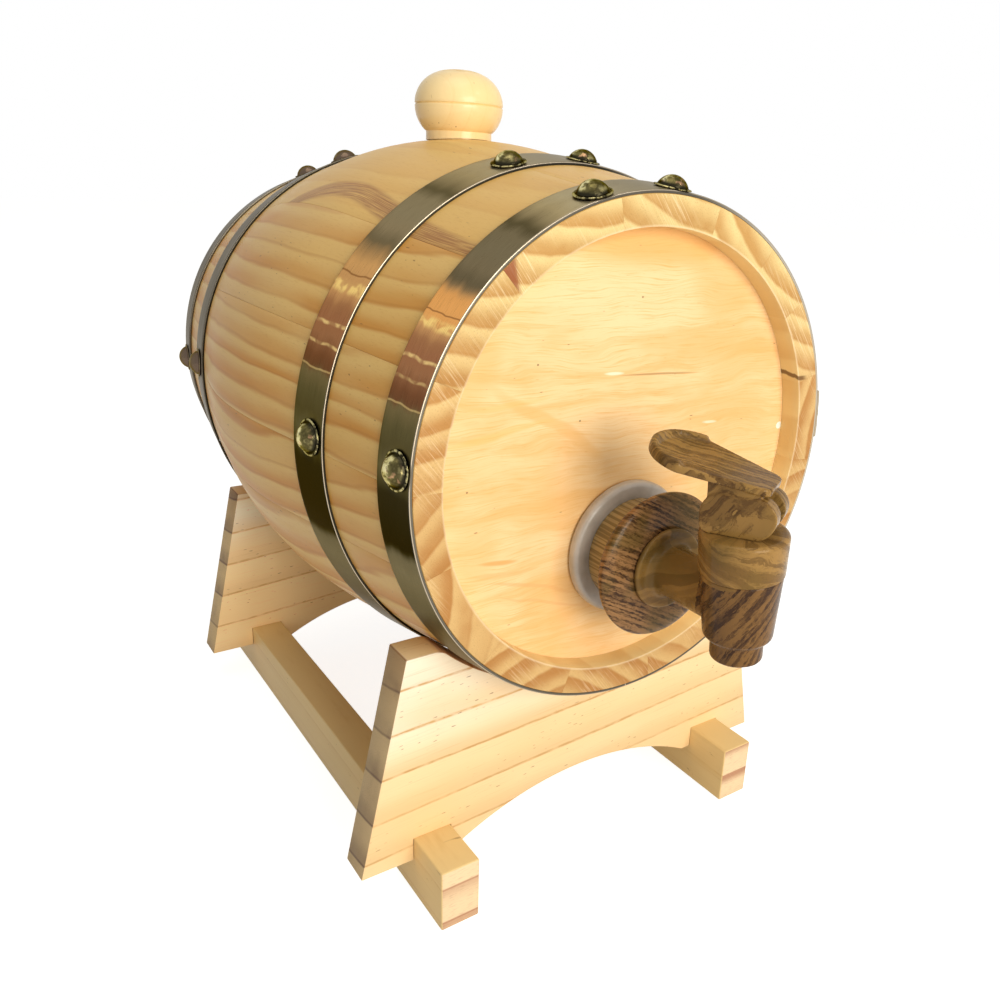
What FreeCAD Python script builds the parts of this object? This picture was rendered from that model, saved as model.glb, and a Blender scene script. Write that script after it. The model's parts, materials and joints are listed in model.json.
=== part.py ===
import FreeCAD, Part
import math
import os

# A small table cask with a lever tap, lying in a notched board cradle.
# Millimetres. +X is to the right of someone facing the tap, -Y points out of the tap's
# side, +Z is up. The origin is on the table, below the middle of the object's box.

V = FreeCAD.Vector
os.makedirs("parts", exist_ok=True)

# ---------------------------------------------------------------- cask: driving dimensions
cask_length = 254.0            # from chime to chime
head_end_radius = 88.0         # outside of the staves at either chime
bilge_radius = 104.0           # outside of the staves at the middle
bilge_arc_radius = 240.0       # lengthwise bend of the staves, tangent to their straight ends
stave_thickness = 10.0         # across the stave, measured radially
first_joint_deg = -11.5        # first stave joint, from the top towards +X
stave_shares = (27.5, 20.0, 17.5, 20.5, 23.0, 25.0, 26.0, 25.0,
                27.0, 26.0, 26.5, 18.5, 22.5, 24.5, 30.5)

chime_recess = 8.5             # the head's face lies this far behind the chime
head_thickness = 9.0
croze_depth = 3.0              # groove that holds the head's rim
head_rim_clearance = 0.15      # radial, head in its groove
head_face_clearance = 0.05     # each face of the head in its groove
head_rim_bevel = 1.0

# ---------------------------------------------------------------- hoops and nails
hoop_thickness = 1.0
hoop_seat_clearance = 0.1      # hoop to stave
hoop_edge_gap = 0.3            # chime to the head hoop's edge
head_hoop_width = 17.0
quarter_hoop_start = 50.0      # chime to the quarter hoop's near edge
quarter_hoop_width = 18.7
lap_start_deg = 79.0           # the strip's two ends overlap here, under the right-hand nail
lap_end_deg = 91.0
hoop_nail_angles = {           # hand-driven, so each hoop's nails stand a little differently
    "front_head_hoop": (-85.0, -15.0, 5.5, 85.0),
    "front_quarter_hoop": (-86.5, -13.2, 5.5, 86.0),
    "rear_quarter_hoop": (-86.8, -15.0, 6.5, 85.0),
    "rear_head_hoop": (-91.0, -15.7, 6.0, 84.0),
}
head_nail_setback = 6.8        # head hoop's outer edge to its row of nails
quarter_nail_setback = 8.0     # quarter hoop's outer edge to its row of nails
nail_head_radius = 5.3
nail_head_height = 3.6
nail_brim_radius = 6.4
nail_brim_thickness = 0.5
nail_shank_radius = 1.0
nail_point_length = 2.0
nail_bite = 6.0                # stave's outside to a nail's tip, through one hoop layer
nail_hole_clearance = 0.1

# ---------------------------------------------------------------- bung
bung_setback = 7.0             # behind the middle of the cask
bung_hole_radius = 12.4        # at the outside of the stave
bung_taper_deg = 3.0           # half angle of the hole and plug
bung_fit_clearance = 0.15
bung_plug_length = 15.0
bung_seat_clearance = 0.3      # foot to stave
bung_foot_radius = 13.6
bung_foot_height = 3.2
bung_ball_radius = 18.2
bung_knob_height = 26.5        # stave to the top of the knob
bung_groove_height = 13.0      # stave to the turned line
bung_groove_depth = 0.6
bung_groove_width = 1.1

# ---------------------------------------------------------------- stand
cradle_setback = 23.5          # chime to the outer face of a cradle board
board_thickness = 14.0
cradle_clearance = 0.3         # cask to board
axis_above_shoulder = 66.6     # cask axis to the boards' flat shoulders
board_height = 85.9            # shoulder to the board's foot
shoulder_half_width = 79.7
foot_half_width = 98.8
cradle_lip_radius = 8.0        # easing where the shoulder meets the cradle cut
arch_half_width = 57.3
arch_rise = 14.2
rail_width = 15.5
rail_height = 25.7
rail_inner_half_gap = 62.2     # object's middle to a rail's inner face
rail_length = 251.0
notch_depth = 9.7              # how far a rail is let into a board
rail_side_clearance = 0.1
screw_shank_radius = 1.9
screw_head_radius = 3.9
screw_head_height = 2.6
screw_sink = 1.0               # head below the rail's underside
screw_length = 42.0
screw_hole_clearance = 0.1

# ---------------------------------------------------------------- tap: shank side
shank_below_axis = 33.5        # cask axis to the tap's shank
shank_radius = 8.4
shank_clearance = 0.2          # shank in the rings and in the head
flow_radius = 5.0              # waterway through the shank
outer_washer_radius = 25.0
outer_washer_thickness = 5.0
outer_washer_edge = 2.0
collar_radius = 19.2
collar_length = 12.0
rosette_radius = 26.3
rosette_length = 7.0
rosette_back_edge = 4.6
rosette_front_radius = 16.4
bell_radius = 14.6
bell_length = 2.6
bell_edge = 1.1
bell_dish_radius = 11.2
bell_dish_depth = 0.8
neck_radius = 8.8
neck_run = 32.7                # bell's front face to the tap's upright axis
inner_washer_radius = 15.0
inner_washer_thickness = 2.5
nut_across_flats = 28.0
nut_thickness = 8.0
nut_lip = 3.0                  # shank past the nut
tap_lean_deg = 4.0             # where the hand-tightened shank stops, the barrel's top towards -X
stack_clearance = 0.05         # between washers, rings, nut and head

# ---------------------------------------------------------------- tap: upright barrel
barrel_top_radius = 13.15
barrel_foot_radius = 11.3
barrel_foot_drop = 9.0         # shank axis to the barrel's foot
barrel_foot_bevel = 1.6
nozzle_radius = 8.6
nozzle_drop = 17.6             # shank axis to the nozzle's mouth
nozzle_bore_radius = 6.2
chamber_radius = 9.4
chamber_floor_drop = 6.6       # shank axis to the valve seat
cap_radius = 14.1
cap_skirt_radius = 13.45
cap_height = 13.7
cap_top_rise = 26.5            # shank axis to the cap's top face
cap_top_thickness = 3.2
cap_edge = 1.6
cap_wall = 1.7
cap_fit_clearance = 0.1

# ---------------------------------------------------------------- tap: moving parts
stem_radius = 3.0
stem_flat_width = 5.0          # across the stem's two flats
stem_guide_clearance = 0.08
stem_top_rise = 3.0            # pin to the stem's rounded end
stem_lift = 6.0                # full travel
stem_flat_margin = 2.5         # flats go this far past what the cheeks need
pin_radius = 1.5
pin_clearance = 0.05
pin_end_gap = 0.2              # pin's end inside the cheek's face
plug_seat_radius = 8.0
plug_seat_thickness = 3.0
plug_seat_clearance = 0.1
plug_waist_radius = 4.6
plug_lip_radius = 9.25
plug_lip_rise = 13.0           # seat to the underside of the sealing lip
plug_lip_thickness = 2.2
plug_grip_clearance = 0.05
spring_wire_radius = 0.5
spring_coil_radius = 5.4
spring_turns = 5
spring_end_clearance = 0.15

# ---------------------------------------------------------------- lever
lever_yaw_deg = 28.0           # stored turned about the stem, away from the cask's middle plane
lever_swing_deg = 70.0
lever_tilt_deg = 13.4          # the paddle's rise at rest
cheek_flat_height = 3.9        # pin to the cheeks' flat undersides
cheek_gap = 0.1                # cheeks to the cap
cheek_half_width = 7.5
cheek_slot_half_width = 2.6
cheek_rear = 12.4
cheek_heel_radius = 3.0
cheek_brow_radius = 6.0
cheek_rear_shoulder = 2.5      # height of the upright rear stretch above the pin
slot_roof = 7.2
slot_rear_clearance = 0.6
neck_block_front = -6.0
neck_block_rear = 10.4
neck_block_half_width = 6.9
neck_block_overlap = 2.0
paddle_rise = 14.5             # pin to the paddle's top, over the pin
paddle_thickness = 2.8
paddle_front = -9.2
paddle_front_half_width = 3.6
paddle_shoulder = -5.2
paddle_shoulder_half_width = 7.7
paddle_wide = 18.0
paddle_wide_half_width = 13.9
paddle_end = 31.6
thumb_rim_height = 1.3
thumb_rim_width = 2.3
thumb_dish_radius = 34.0
thumb_dish_depth = 0.9
thumb_dish_back = 8.5          # dish centre ahead of the paddle's end

# ---------------------------------------------------------------- derived places
half_length = cask_length / 2
chime_inner_radius = head_end_radius - stave_thickness
board_foot_rise = rail_height - notch_depth
cask_axis_z = board_foot_rise + board_height + axis_above_shoulder
ring_stack = outer_washer_thickness + collar_length + rosette_length + bell_length
tap_overhang = ring_stack + neck_run - chime_recess
reach_front = tap_overhang + cap_radius
cask_mid_y = reach_front / 2
front_chime_y = cask_mid_y - half_length
tap_y = front_chime_y - tap_overhang
head_face_y = front_chime_y + chime_recess
shank_z = cask_axis_z - shank_below_axis
cap_top_z = shank_z + cap_top_rise
pin_z = cap_top_z + cheek_gap + cheek_flat_height
lever_swing = math.radians(lever_swing_deg)
lift_per_radian = stem_lift / lever_swing
tilt = math.radians(lever_tilt_deg)

cask_centre = V(0, cask_mid_y, cask_axis_z)
X_AXIS = V(1, 0, 0)
Y_AXIS = V(0, 1, 0)
Z_AXIS = V(0, 0, 1)
ORIGIN = V(0, 0, 0)


# ---------------------------------------------------------------- the stave's lengthwise curve
def tangent_point():
    """Where the straight end of a stave runs into its arc: (distance from the middle, radius)."""
    arc_centre = bilge_radius - bilge_arc_radius
    rise = head_end_radius - arc_centre
    reach = math.hypot(half_length, rise)
    angle = math.atan2(half_length, rise) - math.acos(bilge_arc_radius / reach)
    return bilge_arc_radius * math.sin(angle), arc_centre + bilge_arc_radius * math.cos(angle)


bend_start, bend_radius = tangent_point()
cone_slope = (bend_radius - head_end_radius) / (half_length - bend_start)


def outer_radius(y):
    """Radius of the cask's outside at y from its middle."""
    y = abs(y)
    if y >= bend_start:
        return head_end_radius + (half_length - y) * cone_slope
    return bilge_radius - bilge_arc_radius + math.sqrt(bilge_arc_radius ** 2 - y ** 2)


def on_profile(y, offset):
    """A point of the cask's half section, which lies in the plane x = 0."""
    return V(0, y, outer_radius(y) + offset)


def profile_edges(y_from, y_to, offset):
    """Edges along the cask's outside from y_from to y_to, moved out by offset."""
    marks = [y_from] + [b for b in (-bend_start, bend_start) if y_from < b < y_to] + [y_to]
    edges = []
    for a, b in zip(marks, marks[1:]):
        middle = (a + b) / 2
        if abs(middle) < bend_start:
            arc = Part.Arc(on_profile(a, offset), on_profile(middle, offset), on_profile(b, offset))
            edges.append(arc.toShape())
        else:
            edges.append(Part.makeLine(on_profile(a, offset), on_profile(b, offset)))
    return edges


def polyline(points):
    """Straight edges through the points, in order."""
    return [Part.makeLine(a, b) for a, b in zip(points, points[1:])]


def band(y_from, y_to, inner, outer):
    """Closed section between two offsets of the cask's outside."""
    low = profile_edges(y_from, y_to, inner)
    high = profile_edges(y_from, y_to, outer)
    ends = [
        Part.makeLine(on_profile(y_from, inner), on_profile(y_from, outer)),
        Part.makeLine(on_profile(y_to, inner), on_profile(y_to, outer)),
    ]
    return Part.Face(Part.Wire(Part.__sortEdges__(low + high + ends)))


def turn_profile(face, start_deg, sweep_deg):
    """Revolve a section of the plane x = 0 about the cask's axis, angles from the top to +X."""
    section = face.copy()
    section.rotate(ORIGIN, Y_AXIS, start_deg)
    return section.revolve(ORIGIN, Y_AXIS, sweep_deg)


def lathe(points, centre, axis):
    """Turn an outline of (radius, height) points about an axis through centre."""
    section = Part.Face(Part.Wire(polyline([V(r, 0, h) for r, h in points + points[:1]])))
    solid = section.revolve(ORIGIN, Z_AXIS, 360)
    return place(solid, centre, axis)


def place(solid, centre, axis):
    """Stand a solid that was made along +Z on centre, pointing along axis."""
    moved = solid.copy()
    moved.Placement = FreeCAD.Placement(centre, FreeCAD.Rotation(Z_AXIS, axis)).multiply(moved.Placement)
    return moved


def circle_edges(solid, radius, height):
    """Circular edges of a solid made along +Z, at this radius and height."""
    found = []
    for edge in solid.Edges:
        curve = edge.Curve
        if isinstance(curve, Part.Circle):
            if abs(curve.Radius - radius) < 1e-4 and abs(curve.Center.z - height) < 1e-4:
                found.append(edge)
    return found


def save(name, shape):
    """Write one node's STEP file."""
    shape.exportStep("parts/" + name + ".step")
    print(name, len(shape.Solids), round(shape.Volume, 1), shape.isValid())


# ---------------------------------------------------------------- nails
def hoop_rows():
    """Each hoop's name, its two edges from the cask's middle, and its nail row."""
    head_edge = half_length - hoop_edge_gap
    head = (head_edge - head_hoop_width, head_edge)
    quarter_edge = half_length - quarter_hoop_start
    quarter = (quarter_edge - quarter_hoop_width, quarter_edge)
    rows = []
    for side, sign in (("front", -1), ("rear", 1)):
        for kind, (near, far), setback in (("head_hoop", head, head_nail_setback),
                                           ("quarter_hoop", quarter, quarter_nail_setback)):
            low, high = sorted((sign * near, sign * far))
            rows.append((side + "_" + kind, low, high, sign * (far - setback)))
    return rows


def outward(y, angle_deg):
    """Unit normal of the cask's straight end at y and angle."""
    angle = math.radians(angle_deg)
    lean = math.atan(cone_slope) * (1 if y > 0 else -1)
    return V(math.sin(angle) * math.cos(lean), math.sin(lean), math.cos(angle) * math.cos(lean))


def nail_seat(y, angle_deg):
    """Point on the hoop's outer face under a nail's brim."""
    angle = math.radians(angle_deg)
    lapped = lap_start_deg < angle_deg < lap_end_deg
    layers = 2 if lapped else 1
    radius = outer_radius(y) + hoop_seat_clearance + hoop_thickness * layers
    return V(radius * math.sin(angle), y, radius * math.cos(angle))


def nail_reach():
    """Underside of a nail's brim to its tip."""
    return nail_bite + hoop_seat_clearance + hoop_thickness


def nail_solid():
    """Dome-headed nail made along +Z, its brim's underside at z = 0."""
    dome_base = nail_brim_thickness
    rise = nail_head_height
    ball = (nail_head_radius ** 2 + rise ** 2) / (2 * rise)
    dome_top = dome_base + rise
    dome = Part.makeSphere(ball, V(0, 0, dome_top - ball))
    keep = Part.makeCylinder(nail_brim_radius, rise + 1, V(0, 0, dome_base))
    brim = Part.makeCylinder(nail_brim_radius, nail_brim_thickness)
    straight = nail_reach() - nail_point_length
    shank = Part.makeCylinder(nail_shank_radius, straight, V(0, 0, -straight))
    point = Part.makeCone(0, nail_shank_radius, nail_point_length, V(0, 0, -nail_reach()))
    return brim.fuse([dome.common(keep), shank, point]).removeSplitter()


def nail_hole():
    """Room for a nail's shank and point, made along +Z."""
    radius = nail_shank_radius + nail_hole_clearance
    depth = nail_reach() + nail_hole_clearance
    above = nail_brim_thickness
    return Part.makeCylinder(radius, depth + above, V(0, 0, -depth))


def hoop_nails(name, y):
    """The nails of one hoop and the holes they need, about the cask's middle."""
    nails, holes = [], []
    for angle in hoop_nail_angles[name]:
        seat = nail_seat(y, angle)
        nails.append(place(nail_solid(), seat, outward(y, angle)))
        holes.append(place(nail_hole(), seat, outward(y, angle)))
    return nails, holes


# ---------------------------------------------------------------- staves
def stave_section():
    """Half section of the staves: bent plank with a croze groove near each end."""
    groove_out = half_length - chime_recess
    groove_in = groove_out - head_thickness
    groove_radius = chime_inner_radius + croze_depth
    inner = -stave_thickness
    edges = profile_edges(-half_length, half_length, 0.0)
    edges += profile_edges(-groove_in, groove_in, inner)
    for sign in (-1, 1):
        wall_foot = on_profile(sign * groove_in, inner)
        edges += polyline([
            on_profile(sign * half_length, 0.0),
            V(0, sign * half_length, chime_inner_radius),
            V(0, sign * groove_out, chime_inner_radius),
            V(0, sign * groove_out, groove_radius),
            V(0, sign * groove_in, groove_radius),
            wall_foot,
        ])
    return Part.Face(Part.Wire(Part.__sortEdges__(edges)))


def bung_hole():
    """Tapered room for the bung's plug, about the cask's middle."""
    slope = math.tan(math.radians(bung_taper_deg))
    low = outer_radius(bung_setback) - 2 * stave_thickness
    high = outer_radius(bung_setback) + stave_thickness
    low_radius = bung_hole_radius - 2 * stave_thickness * slope
    high_radius = bung_hole_radius + stave_thickness * slope
    return Part.makeCone(low_radius, high_radius, high - low, V(0, bung_setback, low))


def make_staves(holes):
    section = stave_section()
    whole = sum(stave_shares)
    start = first_joint_deg
    hole = bung_hole()
    for number, share in enumerate(stave_shares, 1):
        sweep = 360.0 * share / whole
        stave = turn_profile(section, start, sweep)
        cutters = [h for h in holes + [hole] if stave.distToShape(h)[0] < 1e-6]
        if cutters:
            stave = stave.cut(cutters)
        stave.translate(cask_centre)
        save("stave_%02d" % number, stave)
        start += sweep


# ---------------------------------------------------------------- heads
def make_heads():
    rim = chime_inner_radius + croze_depth - head_rim_clearance
    thickness = head_thickness - 2 * head_face_clearance
    disc = Part.makeCylinder(rim, thickness)
    disc = disc.makeChamfer(head_rim_bevel, circle_edges(disc, rim, 0) + circle_edges(disc, rim, thickness))
    face_offset = half_length - chime_recess - head_face_clearance
    front = place(disc, V(0, -face_offset, 0), Y_AXIS)
    rear = place(disc, V(0, face_offset, 0), V(0, -1, 0))
    bore = Part.makeCylinder(shank_radius + shank_clearance, cask_length,
                             V(0, -cask_length, -shank_below_axis), Y_AXIS)
    front = front.cut(bore)
    for name, head in (("front_head", front), ("rear_head", rear)):
        head.translate(cask_centre)
        save(name, head)


# ---------------------------------------------------------------- hoops
def make_hoops():
    all_holes = []
    inner = hoop_seat_clearance
    outer = inner + hoop_thickness
    for name, low, high, nail_y in hoop_rows():
        nails, holes = hoop_nails(name, nail_y)
        all_holes += holes
        ring = turn_profile(band(low, high, inner, outer), 0, 360)
        lap = turn_profile(band(low, high, outer, outer + hoop_thickness),
                           lap_start_deg, lap_end_deg - lap_start_deg)
        hoop = ring.fuse(lap).removeSplitter().cut(holes)
        hoop.translate(cask_centre)
        save(name, hoop)
        group = Part.makeCompound(nails)
        group.translate(cask_centre)
        save(name + "_nails", group)
    return all_holes


# ---------------------------------------------------------------- bung
def make_bung():
    """Turned stopper: a grooved ball knob on a foot, over a tapered plug."""
    seat = outer_radius(bung_setback)
    foot_low = -0.5 * stave_thickness
    ball_low = bung_foot_height
    belly = bung_groove_height - bung_groove_width / 2
    brow = bung_groove_height + bung_groove_width / 2
    groove_radius = bung_ball_radius - bung_groove_depth
    top = bung_knob_height
    knee = (bung_foot_radius + 0.72 * (bung_ball_radius - bung_foot_radius), ball_low + 0.27 * (belly - ball_low))
    crown = (0.86 * bung_ball_radius, brow + 0.62 * (top - brow))
    outline = polyline([V(0, 0, foot_low), V(bung_foot_radius, 0, foot_low),
                        V(bung_foot_radius, 0, ball_low)])
    outline.append(Part.Arc(V(bung_foot_radius, 0, ball_low), V(knee[0], 0, knee[1]),
                            V(bung_ball_radius, 0, belly)).toShape())
    outline += polyline([V(bung_ball_radius, 0, belly), V(groove_radius, 0, bung_groove_height),
                         V(bung_ball_radius, 0, brow)])
    dome = Part.BSplineCurve()
    dome.interpolate(Points=[V(bung_ball_radius, 0, brow), V(crown[0], 0, crown[1]), V(0, 0, top)],
                     InitialTangent=V(0, 0, 1), FinalTangent=V(-1, 0, 0), Scale=False)
    outline += [dome.toShape(), Part.makeLine(V(0, 0, top), V(0, 0, foot_low))]
    knob = Part.Face(Part.Wire(Part.__sortEdges__(outline))).revolve(ORIGIN, Z_AXIS, 360)
    knob.translate(V(0, bung_setback, seat))
    cask_skin = turn_profile(band(-bend_start, bend_start, -stave_thickness, bung_seat_clearance), -30, 60)
    knob = knob.cut(cask_skin)
    knob = max(knob.Solids, key=lambda s: s.Volume)
    slope = math.tan(math.radians(bung_taper_deg))
    top_radius = bung_hole_radius - bung_fit_clearance
    rise = 2.0
    plug = Part.makeCone(top_radius - bung_plug_length * slope, top_radius, bung_plug_length,
                         V(0, bung_setback, seat - bung_plug_length))
    collar = Part.makeCylinder(top_radius, rise, V(0, bung_setback, seat))
    bung = knob.fuse([plug, collar]).removeSplitter()
    bung.translate(cask_centre)
    save("bung", bung)


# ---------------------------------------------------------------- stand
def screw_places():
    """(x, y) of the four screws, one where each rail crosses each board."""
    rail_x = rail_inner_half_gap + rail_width / 2
    board_y = half_length - cradle_setback - board_thickness / 2
    return [(sx * rail_x, cask_mid_y + sy * board_y) for sx in (-1, 1) for sy in (-1, 1)]


def screw_solid(clearance):
    """Countersunk screw pointing up from z = 0, grown by clearance."""
    radius = screw_shank_radius + clearance
    head = Part.makeCone(screw_head_radius + clearance, radius, screw_head_height)
    shank = Part.makeCylinder(radius, screw_length + clearance)
    return head.fuse(shank).removeSplitter()


def screw_holes():
    """Countersunk holes open at the underside of the rails."""
    holes = []
    for x, y in screw_places():
        hole = screw_solid(screw_hole_clearance)
        mouth = Part.makeCylinder(screw_head_radius + screw_hole_clearance, screw_sink + 1, V(0, 0, -screw_sink - 1))
        hole = hole.fuse(mouth).removeSplitter()
        hole.translate(V(x, y, screw_sink))
        holes.append(hole)
    return holes


def board_outline():
    """Front view of a cradle board, from its foot line up, about x = 0 and the cask's axis."""
    shoulder = -axis_above_shoulder
    foot = shoulder - board_height
    inner_face = half_length - cradle_setback - board_thickness
    cut = outer_radius(inner_face) + cradle_clearance
    cut_x = math.sqrt(cut ** 2 - shoulder ** 2)
    lip = cradle_lip_radius
    # The easing is an arc tangent to the shoulder and to the cradle cut.
    lip_z = shoulder - lip
    lip_x = math.sqrt((cut + lip) ** 2 - lip_z ** 2)
    touch = V(lip_x * cut / (cut + lip), 0, lip_z * cut / (cut + lip))
    half_turn = (math.pi / 2 + math.atan2(touch.z - lip_z, lip_x - touch.x)) / 2
    lip_middle = V(lip_x - lip * math.sin(math.pi / 2 - half_turn), 0, lip_z + lip * math.cos(math.pi / 2 - half_turn))
    edges = []
    for sign in (-1, 1):
        def side(x, z):
            return V(sign * x, 0, z)
        edges.append(Part.Arc(V(0, 0, -cut), side(cut * math.sin(0.3), -cut * math.cos(0.3)),
                              side(touch.x, touch.z)).toShape())
        edges.append(Part.Arc(side(touch.x, touch.z), side(lip_middle.x, lip_middle.z),
                              side(lip_x, shoulder)).toShape())
        edges += polyline([side(lip_x, shoulder), side(shoulder_half_width, shoulder),
                           side(foot_half_width, foot), side(arch_half_width, foot)])
    edges.append(Part.Arc(V(-arch_half_width, 0, foot), V(0, 0, foot + arch_rise),
                          V(arch_half_width, 0, foot)).toShape())
    return Part.Face(Part.Wire(Part.__sortEdges__(edges)))


def rail_box(sign, clearance):
    """One rail, or the notch it needs."""
    low_x = rail_inner_half_gap - clearance
    width = rail_width + 2 * clearance
    x = low_x if sign > 0 else -low_x - width
    return Part.makeBox(width, rail_length, rail_height, V(x, cask_mid_y - rail_length / 2, 0))


def make_stand():
    holes = screw_holes()
    notches = [rail_box(sign, rail_side_clearance) for sign in (-1, 1)]
    inset = half_length - cradle_setback
    for name, y in (("front_board", cask_mid_y - inset),
                    ("rear_board", cask_mid_y + inset - board_thickness)):
        board = board_outline().extrude(V(0, board_thickness, 0))
        board.translate(V(0, y, cask_axis_z))
        save(name, board.cut(notches + holes))
    for name, sign in (("left_rail", -1), ("right_rail", 1)):
        save(name, rail_box(sign, 0.0).cut(holes))
    screws = []
    for x, y in screw_places():
        screw = screw_solid(0.0)
        screw.translate(V(x, y, screw_sink))
        screws.append(screw)
    save("stand_screws", Part.makeCompound(screws))


# ---------------------------------------------------------------- tap: rings on the shank
def ring(radius, length, bore, edges_out, start):
    """Ring on the shank, made outwards from the head's face at distance start."""
    solid = Part.makeCylinder(radius, length)
    for edge_radius, height in edges_out:
        solid = solid.makeFillet(edge_radius, circle_edges(solid, radius, height))
    solid = solid.cut(Part.makeCylinder(bore, length))
    return place(solid, V(0, head_face_y - start, shank_z), V(0, -1, 0))


def make_shank_rings():
    bore = shank_radius + shank_clearance
    start = stack_clearance
    length = outer_washer_thickness - stack_clearance
    save("outer_washer", ring(outer_washer_radius, length, bore,
                              [(outer_washer_edge, 0), (outer_washer_edge, length)], start))
    start = outer_washer_thickness + stack_clearance
    save("tap_collar", ring(collar_radius, collar_length - stack_clearance, bore, [], start))
    start = outer_washer_thickness + collar_length + stack_clearance
    save("tap_rosette", rosette(bore, rosette_length - 2 * stack_clearance, start))
    inside = -head_thickness - stack_clearance
    save("inner_washer", ring(inner_washer_radius, inner_washer_thickness, bore, [],
                              inside - inner_washer_thickness))
    nut_start = inside - inner_washer_thickness - stack_clearance - nut_thickness
    save("back_nut", back_nut(bore, nut_start))


def rosette(bore, length, start):
    """Thick dome-fronted disc: rounded back rim, bulging front, flat centre."""
    back = rosette_back_edge
    rim = rosette_radius
    corner = back * (1 - math.sqrt(0.5))
    front = rosette_front_radius
    edges = [Part.makeLine(V(bore, 0, 0), V(rim - back, 0, 0))]
    edges.append(Part.Arc(V(rim - back, 0, 0), V(rim - corner, 0, corner), V(rim, 0, back)).toShape())
    bulge = Part.BSplineCurve()
    bulge.interpolate(Points=[V(rim, 0, back), V(rim - 0.24 * (rim - front), 0, back + 0.60 * (length - back)),
                              V(front, 0, length)],
                      InitialTangent=V(0, 0, 1), FinalTangent=V(-1, 0, 0.12), Scale=False)
    edges += [bulge.toShape()]
    edges += polyline([V(front, 0, length), V(bore, 0, length), V(bore, 0, 0)])
    solid = Part.Face(Part.Wire(Part.__sortEdges__(edges))).revolve(ORIGIN, Z_AXIS, 360)
    return place(solid, V(0, head_face_y - start, shank_z), V(0, -1, 0))


def back_nut(bore, start):
    """Hexagon nut inside the cask."""
    corner = nut_across_flats / math.sqrt(3)
    points = [V(corner * math.cos(math.radians(60 * k)), corner * math.sin(math.radians(60 * k)), 0)
              for k in range(7)]
    solid = Part.Face(Part.makePolygon(points)).extrude(V(0, 0, nut_thickness))
    solid = solid.cut(Part.makeCylinder(bore, nut_thickness))
    return place(solid, V(0, head_face_y - start, shank_z), V(0, -1, 0))


# ---------------------------------------------------------------- tap: body and cap
def tap_body():
    """Shank, bell and neck along -Y, then the upright barrel with its chamber and nozzle."""
    out = V(0, -1, 0)
    bell_start = outer_washer_thickness + collar_length + rosette_length
    inside = head_thickness + stack_clearance + inner_washer_thickness + nut_thickness + nut_lip
    shank_centre = V(0, head_face_y + inside, shank_z)
    shank = place(Part.makeCylinder(shank_radius, inside + bell_start + bell_length), shank_centre, out)
    bell = Part.makeCylinder(bell_radius, bell_length)
    bell = bell.makeFillet(bell_edge, circle_edges(bell, bell_radius, 0) + circle_edges(bell, bell_radius, bell_length))
    dish_ball = (bell_dish_radius ** 2 + bell_dish_depth ** 2) / (2 * bell_dish_depth)
    bell = bell.cut(Part.makeSphere(dish_ball, V(0, 0, bell_length - bell_dish_depth + dish_ball)))
    bell = place(bell, V(0, head_face_y - bell_start, shank_z), out)
    neck_start = bell_length / 2
    neck = place(Part.makeCylinder(neck_radius, neck_run + neck_start),
                 V(0, head_face_y - bell_start - neck_start, shank_z), out)
    foot = -barrel_foot_drop
    skirt = cap_top_rise - cap_height
    spigot_radius = cap_skirt_radius - cap_wall - cap_fit_clearance
    spigot_top = cap_top_rise - cap_top_thickness
    barrel = lathe([
        (0, -nozzle_drop), (nozzle_radius, -nozzle_drop), (nozzle_radius, foot - barrel_foot_bevel),
        (barrel_foot_radius - barrel_foot_bevel, foot - barrel_foot_bevel), (barrel_foot_radius, foot),
        (barrel_top_radius, skirt), (spigot_radius, skirt), (spigot_radius, spigot_top), (0, spigot_top),
    ], V(0, tap_y, shank_z), Z_AXIS)
    waterway = place(Part.makeCylinder(flow_radius, inside + bell_start + bell_length + neck_run),
                     shank_centre, out)
    chamber = Part.makeCylinder(chamber_radius, spigot_top + chamber_floor_drop + 1,
                                V(0, tap_y, shank_z - chamber_floor_drop))
    nozzle_bore = Part.makeCylinder(nozzle_bore_radius, nozzle_drop, V(0, tap_y, shank_z - nozzle_drop))
    solid = barrel.fuse([shank, bell, neck]).removeSplitter()
    return solid.cut([waterway, chamber, nozzle_bore])


def bonnet_cap():
    """Screw cap over the barrel, with a guide hole for the stem."""
    low = cap_top_rise - cap_height
    top = cap_top_rise
    inner = cap_skirt_radius - cap_wall
    roof = top - cap_top_thickness + cap_fit_clearance
    guide = stem_radius + stem_guide_clearance
    corner = cap_edge * (1 - math.sqrt(0.5))
    edges = polyline([V(guide, 0, top), V(cap_radius - cap_edge, 0, top)])
    edges.append(Part.Arc(V(cap_radius - cap_edge, 0, top), V(cap_radius - corner, 0, top - corner),
                          V(cap_radius, 0, top - cap_edge)).toShape())
    edges += polyline([V(cap_radius, 0, top - cap_edge), V(cap_skirt_radius, 0, low), V(inner, 0, low),
                       V(inner, 0, roof), V(guide, 0, roof), V(guide, 0, top)])
    solid = Part.Face(Part.Wire(Part.__sortEdges__(edges))).revolve(ORIGIN, Z_AXIS, 360)
    solid.translate(V(0, tap_y, shank_z))
    return solid


# ---------------------------------------------------------------- tap: moving parts
def plug_floor_z():
    """Underside of the valve plug at rest."""
    return shank_z - chamber_floor_drop + plug_seat_clearance


def plug_top_z():
    """Top of the valve plug at rest, where the spring stands."""
    return plug_floor_z() + plug_lip_rise + plug_lip_thickness


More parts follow.
